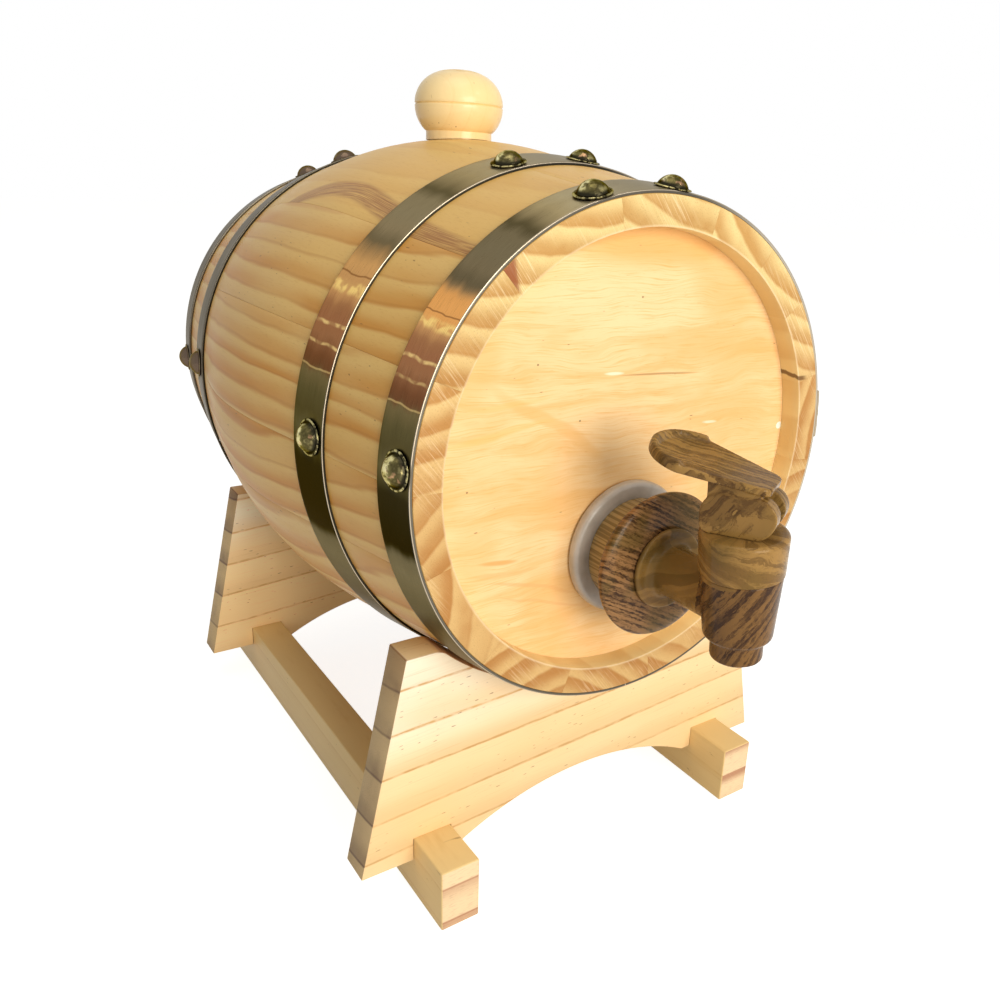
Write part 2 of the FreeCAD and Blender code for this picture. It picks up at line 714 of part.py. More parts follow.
def valve_plug():
    """Silicone plug: seat disc, waist and sealing lip, with a blind bore for the stem."""
    lip_low = plug_lip_rise
    lip_high = plug_lip_rise + plug_lip_thickness
    bore = stem_radius + plug_grip_clearance
    solid = lathe([
        (0, 0), (plug_seat_radius, 0), (plug_seat_radius, plug_seat_thickness),
        (plug_waist_radius, plug_seat_thickness + 1), (plug_waist_radius, lip_low),
        (plug_lip_radius, lip_low), (plug_lip_radius, lip_high), (bore, lip_high),
        (bore, plug_seat_thickness), (0, plug_seat_thickness),
    ], V(0, tap_y, plug_floor_z()), Z_AXIS)
    return solid


def cheek_reach(turn):
    """Distance from the pin to the cap when the lever has turned this far (radians)."""
    return cheek_flat_height + lift_per_radian * turn


def valve_stem():
    """Round rod with two flats inside the lever's slot and a cross hole for the pin."""
    low = plug_floor_z() + plug_seat_thickness + plug_grip_clearance
    high = pin_z + stem_top_rise
    rod = Part.makeCylinder(stem_radius, high - low, V(0, 0, low))
    flat_length = cheek_reach(lever_swing) + stem_flat_margin
    flat_low = pin_z - flat_length
    for sign in (-1, 1):
        width = stem_radius
        x = stem_flat_width / 2 if sign > 0 else -stem_flat_width / 2 - width
        rod = rod.cut(Part.makeBox(width, 4 * stem_radius, high - flat_low + 1, V(x, -2 * stem_radius, flat_low)))
    crown = Part.makeCylinder(stem_top_rise, 4 * stem_radius, V(-2 * stem_radius, 0, pin_z), X_AXIS)
    below = Part.makeBox(4 * stem_radius, 4 * stem_radius, pin_z - low, V(-2 * stem_radius, -2 * stem_radius, low))
    rod = rod.common(crown.fuse(below))
    rod = rod.cut(Part.makeCylinder(pin_radius + pin_clearance, 4 * stem_radius, V(-2 * stem_radius, 0, pin_z), X_AXIS))
    return turned_to_lever(rod)


def turned_to_lever(solid):
    """Turn a solid made about the line x = y = 0 to the lever's yaw, on the tap's upright axis."""
    moved = solid.copy()
    moved.rotate(ORIGIN, Z_AXIS, lever_yaw_deg)
    moved.translate(V(0, tap_y, 0))
    return moved


def stem_spring():
    """Coil spring between the plug's lip and the cap's roof."""
    low = plug_top_z() + spring_end_clearance + spring_wire_radius
    roof = cap_top_z - cap_top_thickness + cap_fit_clearance
    high = roof - spring_end_clearance - spring_wire_radius
    pitch = (high - low) / spring_turns
    helix = Part.makeHelix(pitch, high - low, spring_coil_radius)
    start = V(spring_coil_radius, 0, 0)
    heading = V(0, 2 * math.pi * spring_coil_radius, pitch)
    wire_section = Part.Wire(Part.makeCircle(spring_wire_radius, start, heading))
    coil = Part.Wire(helix).makePipeShell([wire_section], True, True)
    coil.translate(V(0, tap_y, low))
    return coil


# ---------------------------------------------------------------- lever
def cam_point(turn):
    """Point of the cheeks' front outline that meets the cap at this turn of the lever."""
    reach = cheek_reach(turn)
    sine, cosine = math.sin(turn), math.cos(turn)
    return V(0, -reach * sine - lift_per_radian * cosine, -reach * cosine + lift_per_radian * sine)


def cheek_outline():
    """Side view of a cheek about the pin: flat sole, involute nose, round brow and heel."""
    steps = 6
    nose = Part.BSplineCurve()
    nose.interpolate(Points=[cam_point(lever_swing * i / steps) for i in range(steps + 1)],
                     InitialTangent=V(0, -1, 0),
                     FinalTangent=V(0, -math.cos(lever_swing), math.sin(lever_swing)), Scale=False)
    tip = cam_point(lever_swing)
    inward = V(0, math.sin(lever_swing), math.cos(lever_swing))
    brow = tip + inward * cheek_brow_radius
    half = (math.pi / 2 + (math.pi / 2 - lever_swing)) / 2
    brow_middle = brow + V(0, -math.sin(half), math.cos(half)) * cheek_brow_radius
    top = brow.z + cheek_brow_radius
    sole = -cheek_flat_height
    heel = cheek_heel_radius
    heel_corner = heel * math.sqrt(0.5)
    shoulder = top - cheek_rear_shoulder
    shoulder_corner = shoulder * math.sqrt(0.5)
    edges = [nose.toShape()]
    edges.append(Part.Arc(tip, brow_middle, V(0, brow.y, top)).toShape())
    edges.append(Part.makeLine(V(0, brow.y, top), V(0, cheek_rear - shoulder, top)))
    edges.append(Part.Arc(V(0, cheek_rear - shoulder, top),
                          V(0, cheek_rear - shoulder + shoulder_corner, cheek_rear_shoulder + shoulder_corner),
                          V(0, cheek_rear, cheek_rear_shoulder)).toShape())
    edges.append(Part.makeLine(V(0, cheek_rear, cheek_rear_shoulder), V(0, cheek_rear, sole + heel)))
    edges.append(Part.Arc(V(0, cheek_rear, sole + heel),
                          V(0, cheek_rear - heel + heel_corner, sole + heel - heel_corner),
                          V(0, cheek_rear - heel, sole)).toShape())
    edges.append(Part.makeLine(V(0, cheek_rear - heel, sole), cam_point(0.0)))
    return Part.Face(Part.Wire(Part.__sortEdges__(edges))), top


def paddle_plan():
    """The paddle from above, about the pin: narrow rounded nose, round thumb end."""
    edges = []
    for sign in (-1, 1):
        edges.append(Part.Arc(V(sign * paddle_front_half_width, paddle_front, 0),
                              V(sign * (paddle_shoulder_half_width - 1.3), (paddle_front + paddle_shoulder) / 2 - 0.9, 0),
                              V(sign * paddle_shoulder_half_width, paddle_shoulder, 0)).toShape())
        edges.append(Part.makeLine(V(sign * paddle_shoulder_half_width, paddle_shoulder, 0),
                                   V(sign * paddle_wide_half_width, paddle_wide, 0)))
    edges.append(Part.makeLine(V(-paddle_front_half_width, paddle_front, 0),
                               V(paddle_front_half_width, paddle_front, 0)))
    edges.append(Part.Arc(V(-paddle_wide_half_width, paddle_wide, 0), V(0, paddle_end, 0),
                          V(paddle_wide_half_width, paddle_wide, 0)).toShape())
    return Part.Face(Part.Wire(Part.__sortEdges__(edges)))


def paddle():
    """Tilted paddle with a dished thumb pad inside a raised rim."""
    plan = paddle_plan()
    plate = plan.extrude(V(0, 0, -paddle_thickness))
    beyond = Part.makeBox(4 * paddle_wide_half_width, 2 * paddle_end, thumb_rim_height,
                          V(-2 * paddle_wide_half_width, paddle_wide, 0))
    rim = plan.extrude(V(0, 0, thumb_rim_height)).common(beyond)
    inset = 1 - thumb_rim_width / paddle_wide_half_width
    inner_end = paddle_end - thumb_rim_width
    well = Part.Face(Part.Wire(Part.__sortEdges__([
        Part.Arc(V(-inset * paddle_wide_half_width, paddle_wide, 0), V(0, inner_end, 0),
                 V(inset * paddle_wide_half_width, paddle_wide, 0)).toShape(),
        Part.makeLine(V(-inset * paddle_wide_half_width, paddle_wide, 0),
                      V(inset * paddle_wide_half_width, paddle_wide, 0)),
    ]))).extrude(V(0, 0, thumb_rim_height))
    dish_centre = V(0, paddle_end - thumb_rim_width - thumb_dish_back, thumb_dish_radius - thumb_dish_depth)
    dish = Part.makeSphere(thumb_dish_radius, dish_centre)
    solid = plate.fuse(rim.cut(well)).removeSplitter().cut(dish)
    solid.rotate(ORIGIN, X_AXIS, lever_tilt_deg)
    solid.translate(V(0, 0, paddle_rise))
    return solid


def lever():
    """Fork of two cam cheeks, neck block and paddle in one moulding."""
    face, cheek_top = cheek_outline()
    cheeks = face.extrude(V(2 * cheek_half_width, 0, 0))
    cheeks.translate(V(-cheek_half_width, 0, 0))

    def under(y):
        return paddle_rise + y * math.tan(tilt) - paddle_thickness / math.cos(tilt)

    lap = paddle_thickness / 2
    low = cheek_top - neck_block_overlap
    corners = [V(-neck_block_half_width, neck_block_front, low), V(-neck_block_half_width, neck_block_rear, low),
               V(-neck_block_half_width, neck_block_rear, under(neck_block_rear) + lap),
               V(-neck_block_half_width, neck_block_front, under(neck_block_front) + lap)]
    block = Part.Face(Part.makePolygon(corners + corners[:1])).extrude(V(2 * neck_block_half_width, 0, 0))
    solid = cheeks.fuse([block, paddle()]).removeSplitter()
    slot_back = stem_radius + slot_rear_clearance
    slot_length = slot_back + 2 * cheek_rear
    slot = Part.makeBox(2 * cheek_slot_half_width, slot_length, slot_roof + 2 * cheek_flat_height,
                        V(-cheek_slot_half_width, slot_back - slot_length, -2 * cheek_flat_height))
    pin_hole = Part.makeCylinder(pin_radius + pin_clearance, 4 * cheek_half_width,
                                 V(-2 * cheek_half_width, 0, 0), X_AXIS)
    solid = solid.cut([slot, pin_hole])
    solid.translate(V(0, 0, pin_z))
    return turned_to_lever(solid)


def lever_pin():
    length = 2 * (cheek_half_width - pin_end_gap)
    return turned_to_lever(Part.makeCylinder(pin_radius, length, V(-length / 2, 0, pin_z), X_AXIS))


def leaned(solid):
    """Turn a solid about the shank's axis by the tap's lean."""
    moved = solid.copy()
    moved.rotate(V(0, tap_y, shank_z), Y_AXIS, -tap_lean_deg)
    return moved


def make_tap():
    make_shank_rings()
    for name, make in (("tap_body", tap_body), ("bonnet_cap", bonnet_cap), ("valve_plug", valve_plug),
                       ("valve_stem", valve_stem), ("stem_spring", stem_spring), ("tap_lever", lever),
                       ("lever_pin", lever_pin)):
        save(name, leaned(make()))


def report_places():
    """Print the places that the joints and mounts use, in millimetres."""
    lean, yaw = math.radians(tap_lean_deg), math.radians(lever_yaw_deg)
    upright = V(-math.sin(lean), 0, math.cos(lean))
    cross = V(math.cos(yaw) * math.cos(lean), math.sin(yaw), math.cos(yaw) * math.sin(lean))
    shank = V(0, tap_y, shank_z)
    print("swivel axis", tuple(upright), "swing axis", tuple(cross))
    print("cap top", tuple(shank + upright * cap_top_rise), "pin", tuple(shank + upright * (pin_z - shank_z)))
    print("cask axis z", cask_axis_z, "front chime y", front_chime_y, "cask middle y", cask_mid_y)
    print("nozzle mouth z", shank_z - nozzle_drop, "lift per radian", lift_per_radian)
    print("bung seat z", cask_axis_z + outer_radius(bung_setback), "bung y", cask_mid_y + bung_setback)
    print("spring fixed end z", (shank + upright * (cap_top_rise - cap_top_thickness + cap_fit_clearance)).z)


def main():
    make_staves(make_hoops())
    make_heads()
    make_bung()
    make_stand()
    make_tap()
    report_places()


main()
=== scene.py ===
# %% [markdown]
# # A table cask with a lever tap
#
# This lesson dresses a small wooden cask that lies on a board stand. The working model is
# loaded first and gives every place and size. Each visible piece is then made again as a
# smooth surface with eased edges, gets a procedural finish, and rides on the moving part
# that carries it. All lengths in the cells are millimetres; meshes are stored in metres.

import json
import math

import bmesh
import bpy
import numpy as np
from mathutils import Matrix, Vector

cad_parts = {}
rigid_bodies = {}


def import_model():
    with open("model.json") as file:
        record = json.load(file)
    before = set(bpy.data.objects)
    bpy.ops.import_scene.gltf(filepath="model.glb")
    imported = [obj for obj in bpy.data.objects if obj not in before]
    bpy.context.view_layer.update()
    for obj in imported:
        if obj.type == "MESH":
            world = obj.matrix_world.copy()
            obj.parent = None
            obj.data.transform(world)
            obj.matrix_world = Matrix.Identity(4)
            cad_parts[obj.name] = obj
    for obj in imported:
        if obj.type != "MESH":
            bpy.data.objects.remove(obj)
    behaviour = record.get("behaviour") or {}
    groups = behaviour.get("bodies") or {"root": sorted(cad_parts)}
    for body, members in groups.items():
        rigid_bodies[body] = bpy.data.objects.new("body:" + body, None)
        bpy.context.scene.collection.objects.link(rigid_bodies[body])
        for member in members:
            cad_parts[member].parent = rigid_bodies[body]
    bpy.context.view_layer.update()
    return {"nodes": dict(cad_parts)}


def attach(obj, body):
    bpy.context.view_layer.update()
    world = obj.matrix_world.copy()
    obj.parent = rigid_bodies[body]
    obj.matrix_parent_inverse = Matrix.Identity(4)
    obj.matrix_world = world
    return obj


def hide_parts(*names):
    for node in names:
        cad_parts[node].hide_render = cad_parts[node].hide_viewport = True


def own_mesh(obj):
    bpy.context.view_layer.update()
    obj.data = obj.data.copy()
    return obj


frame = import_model()

# %% [markdown]
# ## Sizes
#
# A cask maker works from a handful of sizes: the length, the head and bilge radii, the bend
# of the staves. They are repeated here from the working model, because the pieces below are
# formulas of them. Heights are measured from the table and y runs from the tap backwards.

# %% Sizes of the cask and the tap
MM = 0.001
HALF, HEAD_R, BILGE_R, BEND_R = 127.0, 88.0, 104.0, 240.0
MID_Y, AXIS_Z = 32.45, 168.5
STAVE_T, RECESS, HEAD_T, CROZE = 10.0, 8.5, 9.0, 3.0
TAP_Y, SHANK_Z, CAP_RISE, PIN_RISE, TAP_LEAN = -145.35, 135.0, 26.5, 30.5, math.radians(4.0)
FACE_Y = MID_Y - HALF + RECESS
LEVER_YAW, LEVER_TILT, LEVER_SWING = (math.radians(a) for a in (28.0, 13.4, 70.0))
BUNG_BACK = 7.0
FIRST_JOINT = -11.5
SHARES = [27.5, 20, 17.5, 20.5, 23, 25, 26, 25, 27, 26, 26.5, 18.5, 22.5, 24.5, 30.5]
NO_STREAK = 60.0


def leaned(points, back=False):
    """Turned by the tap's lean about its shank at the upright axis, or turned back."""
    c, s = math.cos(TAP_LEAN), math.sin(TAP_LEAN) * (-1 if back else 1)
    turn = np.array([[c, 0, s], [0, 1, 0], [-s, 0, c]])
    centre = np.array([0, TAP_Y, SHANK_Z])
    return (np.asarray(points, float) - centre) @ turn + centre


def bend_tangent():
    """Distance from the middle, and radius, where the straight end of a stave meets its arc."""
    centre = BILGE_R - BEND_R
    reach = math.hypot(HALF, HEAD_R - centre)
    angle = math.atan2(HALF, HEAD_R - centre) - math.acos(BEND_R / reach)
    return BEND_R * math.sin(angle), centre + BEND_R * math.cos(angle)


BEND_Y, BEND_AT = bend_tangent()
SLOPE = (BEND_AT - HEAD_R) / (HALF - BEND_Y)


def cask_radius(y):
    """Outside radius at y from the middle: a circle arc in the middle, straight cones at the ends."""
    y = np.abs(np.asarray(y, float))
    arc = BILGE_R - BEND_R + np.sqrt(np.maximum(BEND_R**2 - y**2, 0))
    return np.where(y > BEND_Y, HEAD_R + (HALF - y) * SLOPE, arc)


def round_cask(radius, angle, y):
    """Points by radius, angle from the top, and way along the cask from its middle."""
    radius, angle, y = np.broadcast_arrays(radius, angle, y)
    return np.stack([radius * np.sin(angle), y + MID_Y, radius * np.cos(angle) + AXIS_Z], -1)


def about_cask(at):
    """The angle from the top, the way along the cask, and the radius of each point."""
    x, y, z = (at - (0, MID_Y, AXIS_Z)).T
    return np.arctan2(x, z), y, np.hypot(x, z)


print("straight ends run", round(HALF - BEND_Y, 1), "mm, slope", round(SLOPE, 4))

# %% [markdown]
# ## Tools for surfaces
#
# Every piece is a grid: rows of points worked out as whole arrays, and quads between
# neighbours. A grid closes on itself in one direction for a turned or swept piece. The weld
# merges the points that fall together at a pole, and edges sharper than a given angle stay
# crisp while the rest is shaded smooth.


# %% Grids and meshes
WELD = 0.001


def grid_quads(rows, cols, wrap_rows=False, wrap_cols=False, first=0):
    """Quads of a grid of rows x cols points: each joins a point to its next in both directions."""
    ranges = np.arange(rows - (not wrap_rows)), np.arange(cols - (not wrap_cols))
    r, c = np.meshgrid(*ranges, indexing="ij")
    r2, c2 = (r + 1) % rows, (c + 1) % cols
    quads = np.stack([r * cols + c, r2 * cols + c, r2 * cols + c2, r * cols + c2], -1)
    return (quads.reshape(-1, 4) + first).tolist()


def tube_quads(rows, cols):
    """Quads of a closed section carried along the rows, and its two filled ends."""
    ends = [list(range(cols)), list(range((rows - 1) * cols, rows * cols))]
    return grid_quads(rows, cols, wrap_cols=True) + ends


def prism(outline, low, high, axis):
    """A flat outline carried from low to high along axis 0 or 1."""
    both = [np.insert(np.asarray(outline, float), axis, at, axis=1) for at in (low, high)]
    return np.stack(both), tube_quads(2, len(outline))


def turned(profile, around=96, centre=(0, 0, 0), axis="z"):
    """Lathe work: each (radius, height) of a closed profile goes round the axis as a circle."""
    profile = np.asarray(profile, float)
    angle = np.linspace(0, 2 * np.pi, around, endpoint=False)
    radius, height = profile[:, :1], np.repeat(profile[:, 1:2], around, 1)
    across, up = radius * np.cos(angle), radius * np.sin(angle)
    order = {"z": (across, up, height), "-y": (across, -height, up)}[axis]
    return np.stack(order, -1) + np.asarray(centre, float), grid_quads(len(profile), around, True, True)


def several(*parts):
    """Several (points, faces) in one list of points and one of faces."""
    points, faces, count = [], [], 0
    for some, their in parts:
        points.append(np.asarray(some, float).reshape(-1, 3))
        faces += [[i + count for i in face] for face in their]
        count += len(points[-1])
    return np.concatenate(points), faces


def rounded(corners, radii, steps=5):
    """Outline with its corners rounded: each gives way to a circle arc tangent to its two sides."""
    corners, out = np.asarray(corners, float), []
    neighbours = zip(np.roll(corners, 1, 0), corners, np.roll(corners, -1, 0), radii)
    for before, at, after, radius in neighbours:
        a, b = (side / np.linalg.norm(side) for side in (before - at, after - at))
        half = math.acos(np.clip(a @ b, -1, 1)) / 2
        if radius <= 0 or half > 1.56:
            out.append(at[None])
            continue
        middle = at + (a + b) / np.linalg.norm(a + b) * radius / math.sin(half)
        start, end = (at + side * radius / math.tan(half) - middle for side in (a, b))
        turn = math.atan2(start[0] * end[1] - start[1] * end[0], start @ end)
        angles = np.linspace(0, turn, steps + 1)[:, None]
        out.append(middle + start * np.cos(angles) + np.array([-start[1], start[0]]) * np.sin(angles))
    return np.concatenate(out)


def solid_mesh(name, points, faces):
    """Mesh from points in mm, its doubles merged and its normals turned outwards."""
    mesh = bpy.data.meshes.new(name)
    mesh.from_pydata((np.asarray(points, float).reshape(-1, 3) * MM).tolist(), [], faces)
    work = bmesh.new()
    work.from_mesh(mesh)
    bmesh.ops.remove_doubles(work, verts=work.verts, dist=WELD * MM)
    bmesh.ops.recalc_face_normals(work, faces=work.faces)
    work.to_mesh(mesh)
    work.free()
    return mesh


def vectors(items, key):
    """One vector of each point or face of a mesh: its place, its normal or its centre."""
    flat = np.empty(len(items) * 3, np.float32)
    items.foreach_get(key, flat)
    return flat.reshape(-1, 3).astype(float)


def points_of(mesh):
    """The mesh's points in mm."""
    return vectors(mesh.vertices, "co") / MM


def linked(name, data):
    """A new object in the scene that shows this data."""
    thing = bpy.data.objects.new(name, data)
    bpy.context.scene.collection.objects.link(thing)
    return thing


# %% Modifiers, holes and finished pieces
def applied(mesh, *modifiers):
    """The mesh after these modifiers, each a (kind, settings) pair, are worked in."""
    holder = linked("work", mesh)
    for kind, settings in modifiers:
        modifier = holder.modifiers.new(kind, kind)
        for key, value in settings.items():
            setattr(modifier, key, value)
    graph = bpy.context.evaluated_depsgraph_get()
    made = bpy.data.meshes.new_from_object(holder.evaluated_get(graph))
    bpy.data.objects.remove(holder)
    return made


def drilled(mesh, *tool):
    """The mesh with a turned tool cut out of it; the tool is given as it is for `turned`."""
    cutter = linked("hole", solid_mesh("hole", *turned(*tool)))
    cut = {"object": cutter, "operation": "DIFFERENCE", "solver": "EXACT"}
    made = applied(mesh, ("BOOLEAN", cut))
    bpy.data.objects.remove(cutter)
    return made


def melted(mesh, voxel, rounds):
    """Overlapping shells made one skin on a grid of cubes of this size, and relaxed."""
    remesh = {"mode": "VOXEL", "voxel_size": voxel * MM, "use_smooth_shade": True}
    return applied(mesh, ("REMESH", remesh), ("SMOOTH", {"factor": 0.5, "iterations": rounds}))


def piece(name, mesh, body, finish, node, grain, tint=(0, 0, 0), crease=32):
    """One finished piece: smooth but for its creases, with its grain, material and body."""
    mesh.name = name
    mesh.shade_smooth()
    mesh.set_sharp_from_angle(angle=math.radians(crease))
    at = points_of(mesh)
    for key, values in (("grain", grain(at)), ("tint", np.broadcast_to(tint, at.shape))):
        layer = mesh.attributes.new(key, "FLOAT_VECTOR", "POINT")
        layer.data.foreach_set("vector", np.asarray(values, np.float32).ravel())
    mesh.materials.clear()
    mesh.materials.append(finish)
    thing = linked(name, mesh)
    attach(thing, body)
    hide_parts(node)
    return thing


# %% [markdown]
# ## Tools for finishes
#
# A finish is a graph of shader nodes. The small class below wraps one socket, so that the
# maths of a pattern can be written as ordinary sums and products. Everything else goes
# through one method, `node`, which takes a node's type, settings and inputs. Most finishes
# start from one colour and lay others over it, each by a share that a pattern gives.


# %% Shader sockets that can be added and multiplied
class Port:
    """A node's output that takes part in Python arithmetic."""

    def __init__(self, graph, socket):
        self.graph, self.socket = graph, socket

    def __add__(self, other):
        return self.graph.maths("ADD", self, other)

    def __sub__(self, other):
        return self.graph.maths("SUBTRACT", self, other)

    def __rsub__(self, other):
        return self.graph.maths("SUBTRACT", other, self)

    def __mul__(self, other):
        return self.graph.maths("MULTIPLY", self, other)

    def __truediv__(self, other):
        return self.graph.maths("DIVIDE", self, other)

    __radd__, __rmul__ = __add__, __mul__


class Graph:
    """A tree of shader nodes under construction."""

    def __init__(self, tree):
        self.tree = tree
        tree.nodes.clear()

    def node(self, kind, settings=None, inputs=(), out=0):
        """Add a node: its settings first, then the values or links of its sockets."""
        made = self.tree.nodes.new(kind)
        for key, value in (settings or {}).items():
            if key == "stops":
                ramp = made.color_ramp
                while len(ramp.elements) < len(value):
                    ramp.elements.new(1.0)
                for element, (place, colour) in zip(ramp.elements, value):
                    element.position, element.color = place, (*colour, 1.0)
            else:
                setattr(made, key, value)
        for key, value in inputs.items() if isinstance(inputs, dict) else enumerate(inputs):
            if isinstance(value, Port):
                self.tree.links.new(value.socket, made.inputs[key])
            else:
                made.inputs[key].default_value = value
        return Port(self, made.outputs[out]) if len(made.outputs) else None

    def maths(self, operation, *values):
        """One Math node."""
        return self.node("ShaderNodeMath", {"operation": operation}, values)

    def size(self, value):
        """A value without its sign."""
        return self.maths("ABSOLUTE", value)

    def length(self, a, b):
        """The length of a flat vector."""
        return self.maths("SQRT", a * a + b * b)

    def parts(self, vector):
        """The three numbers of a vector."""
        split = self.node("ShaderNodeSeparateXYZ", {}, [vector])
        return [Port(self, out) for out in split.socket.node.outputs]

    def joined(self, *values):
        """Three numbers as a vector."""
        return self.node("ShaderNodeCombineXYZ", {}, values)

    def noise(self, vector, scale=1.0, detail=2.0, roughness=0.5):
        """Smooth noise between 0 and 1, about 0.5 on average."""
        inputs = {"Vector": vector, "Scale": scale, "Detail": detail, "Roughness": roughness}
        return self.node("ShaderNodeTexNoise", {"noise_dimensions": "3D"}, inputs)

    def step(self, value, low, high):
        """0 below low, 1 above high, and a smooth rise between."""
        inputs = {"Value": value, "From Min": low, "From Max": high, "To Min": 0.0, "To Max": 1.0}
        return self.node("ShaderNodeMapRange", {"interpolation_type": "SMOOTHSTEP"}, inputs)

    def within(self, value, from_low, from_high, to_low, to_high):
        """1 between the two middle values, and a smooth way down to 0 at either side."""
        return self.step(value, from_low, from_high) * (1.0 - self.step(value, to_low, to_high))


class Finish(Graph):
    """A material under construction."""

    def __init__(self, name, colour=None):
        self.material = bpy.data.materials.new(name)
        self.material.use_nodes = True
        super().__init__(self.material.node_tree)
        self.colour = colour

    def vector(self, name):
        """A vector kept on the mesh, as three numbers."""
        return self.parts(self.node("ShaderNodeAttribute", {"attribute_name": name}, out="Vector"))

    def place(self):
        """Where the point is, as three numbers in mm."""
        return [part * 1000.0 for part in self.parts(self.node("ShaderNodeTexCoord", out="Object"))]

    def mix(self, under, over, share, blend="MIX"):
        """Two colours, the second laid over the first by a share."""
        colours = [c if isinstance(c, Port) else (*c, 1.0) for c in (under, over)]
        settings = {"data_type": "RGBA", "blend_type": blend}
        made = self.node("ShaderNodeMix", settings, {0: share, 6: colours[0], 7: colours[1]})
        return Port(self, made.socket.node.outputs[2])

    def lay(self, colour, share, blend="MIX"):
        """Lay one more colour over the finish's own."""
        self.colour = self.mix(self.colour, colour, share, blend)

    def ramp(self, value, stops):
        """A colour that runs through stops (place, colour) between 0 and 1."""
        return self.node("ShaderNodeValToRGB", {"stops": stops}, [value])

    def bump(self, height, strength=0.3, distance=0.1):
        """A normal pushed about by a height; the distance is in mm."""
        inputs = {"Strength": strength, "Distance": distance * MM, "Height": height}
        return self.node("ShaderNodeBump", {}, inputs)

    def surface(self, **sockets):
        """Close the graph with one Principled shader; names use _ for spaces."""
        sockets = {"Base_Color": self.colour, **sockets}
        inputs = {key.replace("_", " "): value for key, value in sockets.items()}
        shader = self.node("ShaderNodeBsdfPrincipled", {}, inputs)
        self.node("ShaderNodeOutputMaterial", {}, {"Surface": shader})
        return self.material


def dim(colour, by):
    """A colour made darker, by one number or by one for each channel."""
    return tuple(np.multiply(colour, by))


# %% [markdown]
# ## Pine
#
# Sawn pine shows yearly rings: a broad pale band of spring wood, then an orange band of
# summer wood with a crisp far edge. A picture of wood would repeat and break at the ends of
# a board. Here the wood is solid: each piece keeps, for each point, its place in the log
# (across, along, and up from the pith, in mm), and the rings are the distance from the pith.
# A face cut along the log then shows stripes and arcs, and a face cut across it shows rings.


# %% Solid pine
class Pine(Finish):
    """Solid wood that reads the piece's place in the log, its tint and its cut faces."""

    def __init__(self, name, ring, band, wander, colour):
        super().__init__(name, colour)
        self.cut = self.vector("cut")[0]
        self.across, self.along, self.up = self.vector("grain")
        self.tone, self.seed, self.streak = self.vector("tint")
        slow = self.joined(self.across + self.seed * 37.0, self.along * 0.12, self.up)
        drift = (self.noise(slow, 0.045, 3.0) - 0.5) * (1.0 - self.cut * 0.6)
        ripple = (self.noise(slow, 0.22) - 0.5) * (1.0 - self.cut * 0.85)
        distance = self.length(self.across, self.up) + drift * (wander * 9.0) + ripple * (wander * 1.2)
        turns = distance / ring + self.seed * 3.7
        passed, which = self.maths("FRACT", turns), self.maths("FLOOR", turns)
        year = self.noise(self.joined(which * 3.1, self.seed * 11.0, self.along * 0.006), 1.0, 1.0)
        rise, full, fade, gone = band
        self.late = self.within(passed, rise, full, fade, gone) * self.step(year, 0.16, 0.52)
        self.line = self.within(passed, full, fade, fade, gone)

    def drawn(self, fine, shift, along, detail=2.0, roughness=0.5):
        """Noise drawn out along the log, fine across it and shifted by the piece's seed."""
        vector = self.joined(self.across * fine + self.seed * shift, along, self.up * fine)
        return self.noise(vector, 1.0, detail, roughness)

    def fibres(self, fine, length, detail=3.0):
        """Fine threads along the log."""
        return self.drawn(fine, 1.0, self.along * length, detail, 0.6)

    def clouds(self, across, along):
        """Large soft patches."""
        return self.drawn(across, 5.0, self.along * along)

    def flecks(self, low, rows_from, share):
        """Short dark resin dashes in loose rows."""
        dash = self.drawn(1.5, 9.0, self.along * 0.30, 0.0)
        rows = self.drawn(0.10, 0.0, self.along * 0.01 + self.seed * 4.0, 1.0)
        self.dark = self.step(dash, low, low + 0.05) * self.step(rows, rows_from, rows_from + 0.13)
        self.lay((0.20, 0.085, 0.030), self.dark * share)

    def sawn(self, pale, ripe, contrast, crisp, scratch):
        """Faces cut across the log: rings in two deeper colours, open pores and saw scratches."""
        x, y, z = self.place()
        slant, beside = (x * 1.3 + z) * 0.61, (x - z * 1.3) * 0.61
        self.scratches = self.noise(self.joined(slant * 2.9, beside * 0.07, y * 0.3), 1.0, 2.0, 0.7)
        patch = self.noise(self.joined(slant * 0.06, beside * 0.02, 3.0), 1.0, 1.0)
        scratch = self.step(patch, 0.38, 0.66) * scratch
        pores = self.noise(self.joined(self.across * 2.6, self.up * 2.6, self.seed), 1.0, 2.0)
        rings = self.late * contrast + self.line * crisp + self.step(self.clouds(0.09, 0.0), 0.45, 0.75) * 0.25
        end = self.mix(pale, ripe, rings)
        end = self.mix(end, dim(ripe, 0.66), self.step(pores, 0.52, 0.72) * 0.30)
        end = self.mix(end, (1.0, 0.82, 0.54), self.step(self.scratches, 0.52, 0.66) * scratch)
        end = self.mix(end, dim(ripe, 0.7), self.step(self.scratches, 0.46, 0.30) * scratch * 0.5)
        self.lay(end, self.cut)

    def finished(self, height, rough, coat, gloss, shine):
        """Varnish over the wood; the sawn faces drink it and stay duller."""
        sheen = self.drawn(0.3, 0.0, self.along * 0.02)
        return self.surface(
            Roughness=rough + sheen * 0.12 + self.cut * 0.15, Specular_IOR_Level=shine,
            Coat_Weight=(1.0 - self.cut * 0.8) * coat, Coat_Roughness=gloss,
            Normal=self.bump(height, 0.22, 0.12),
        )


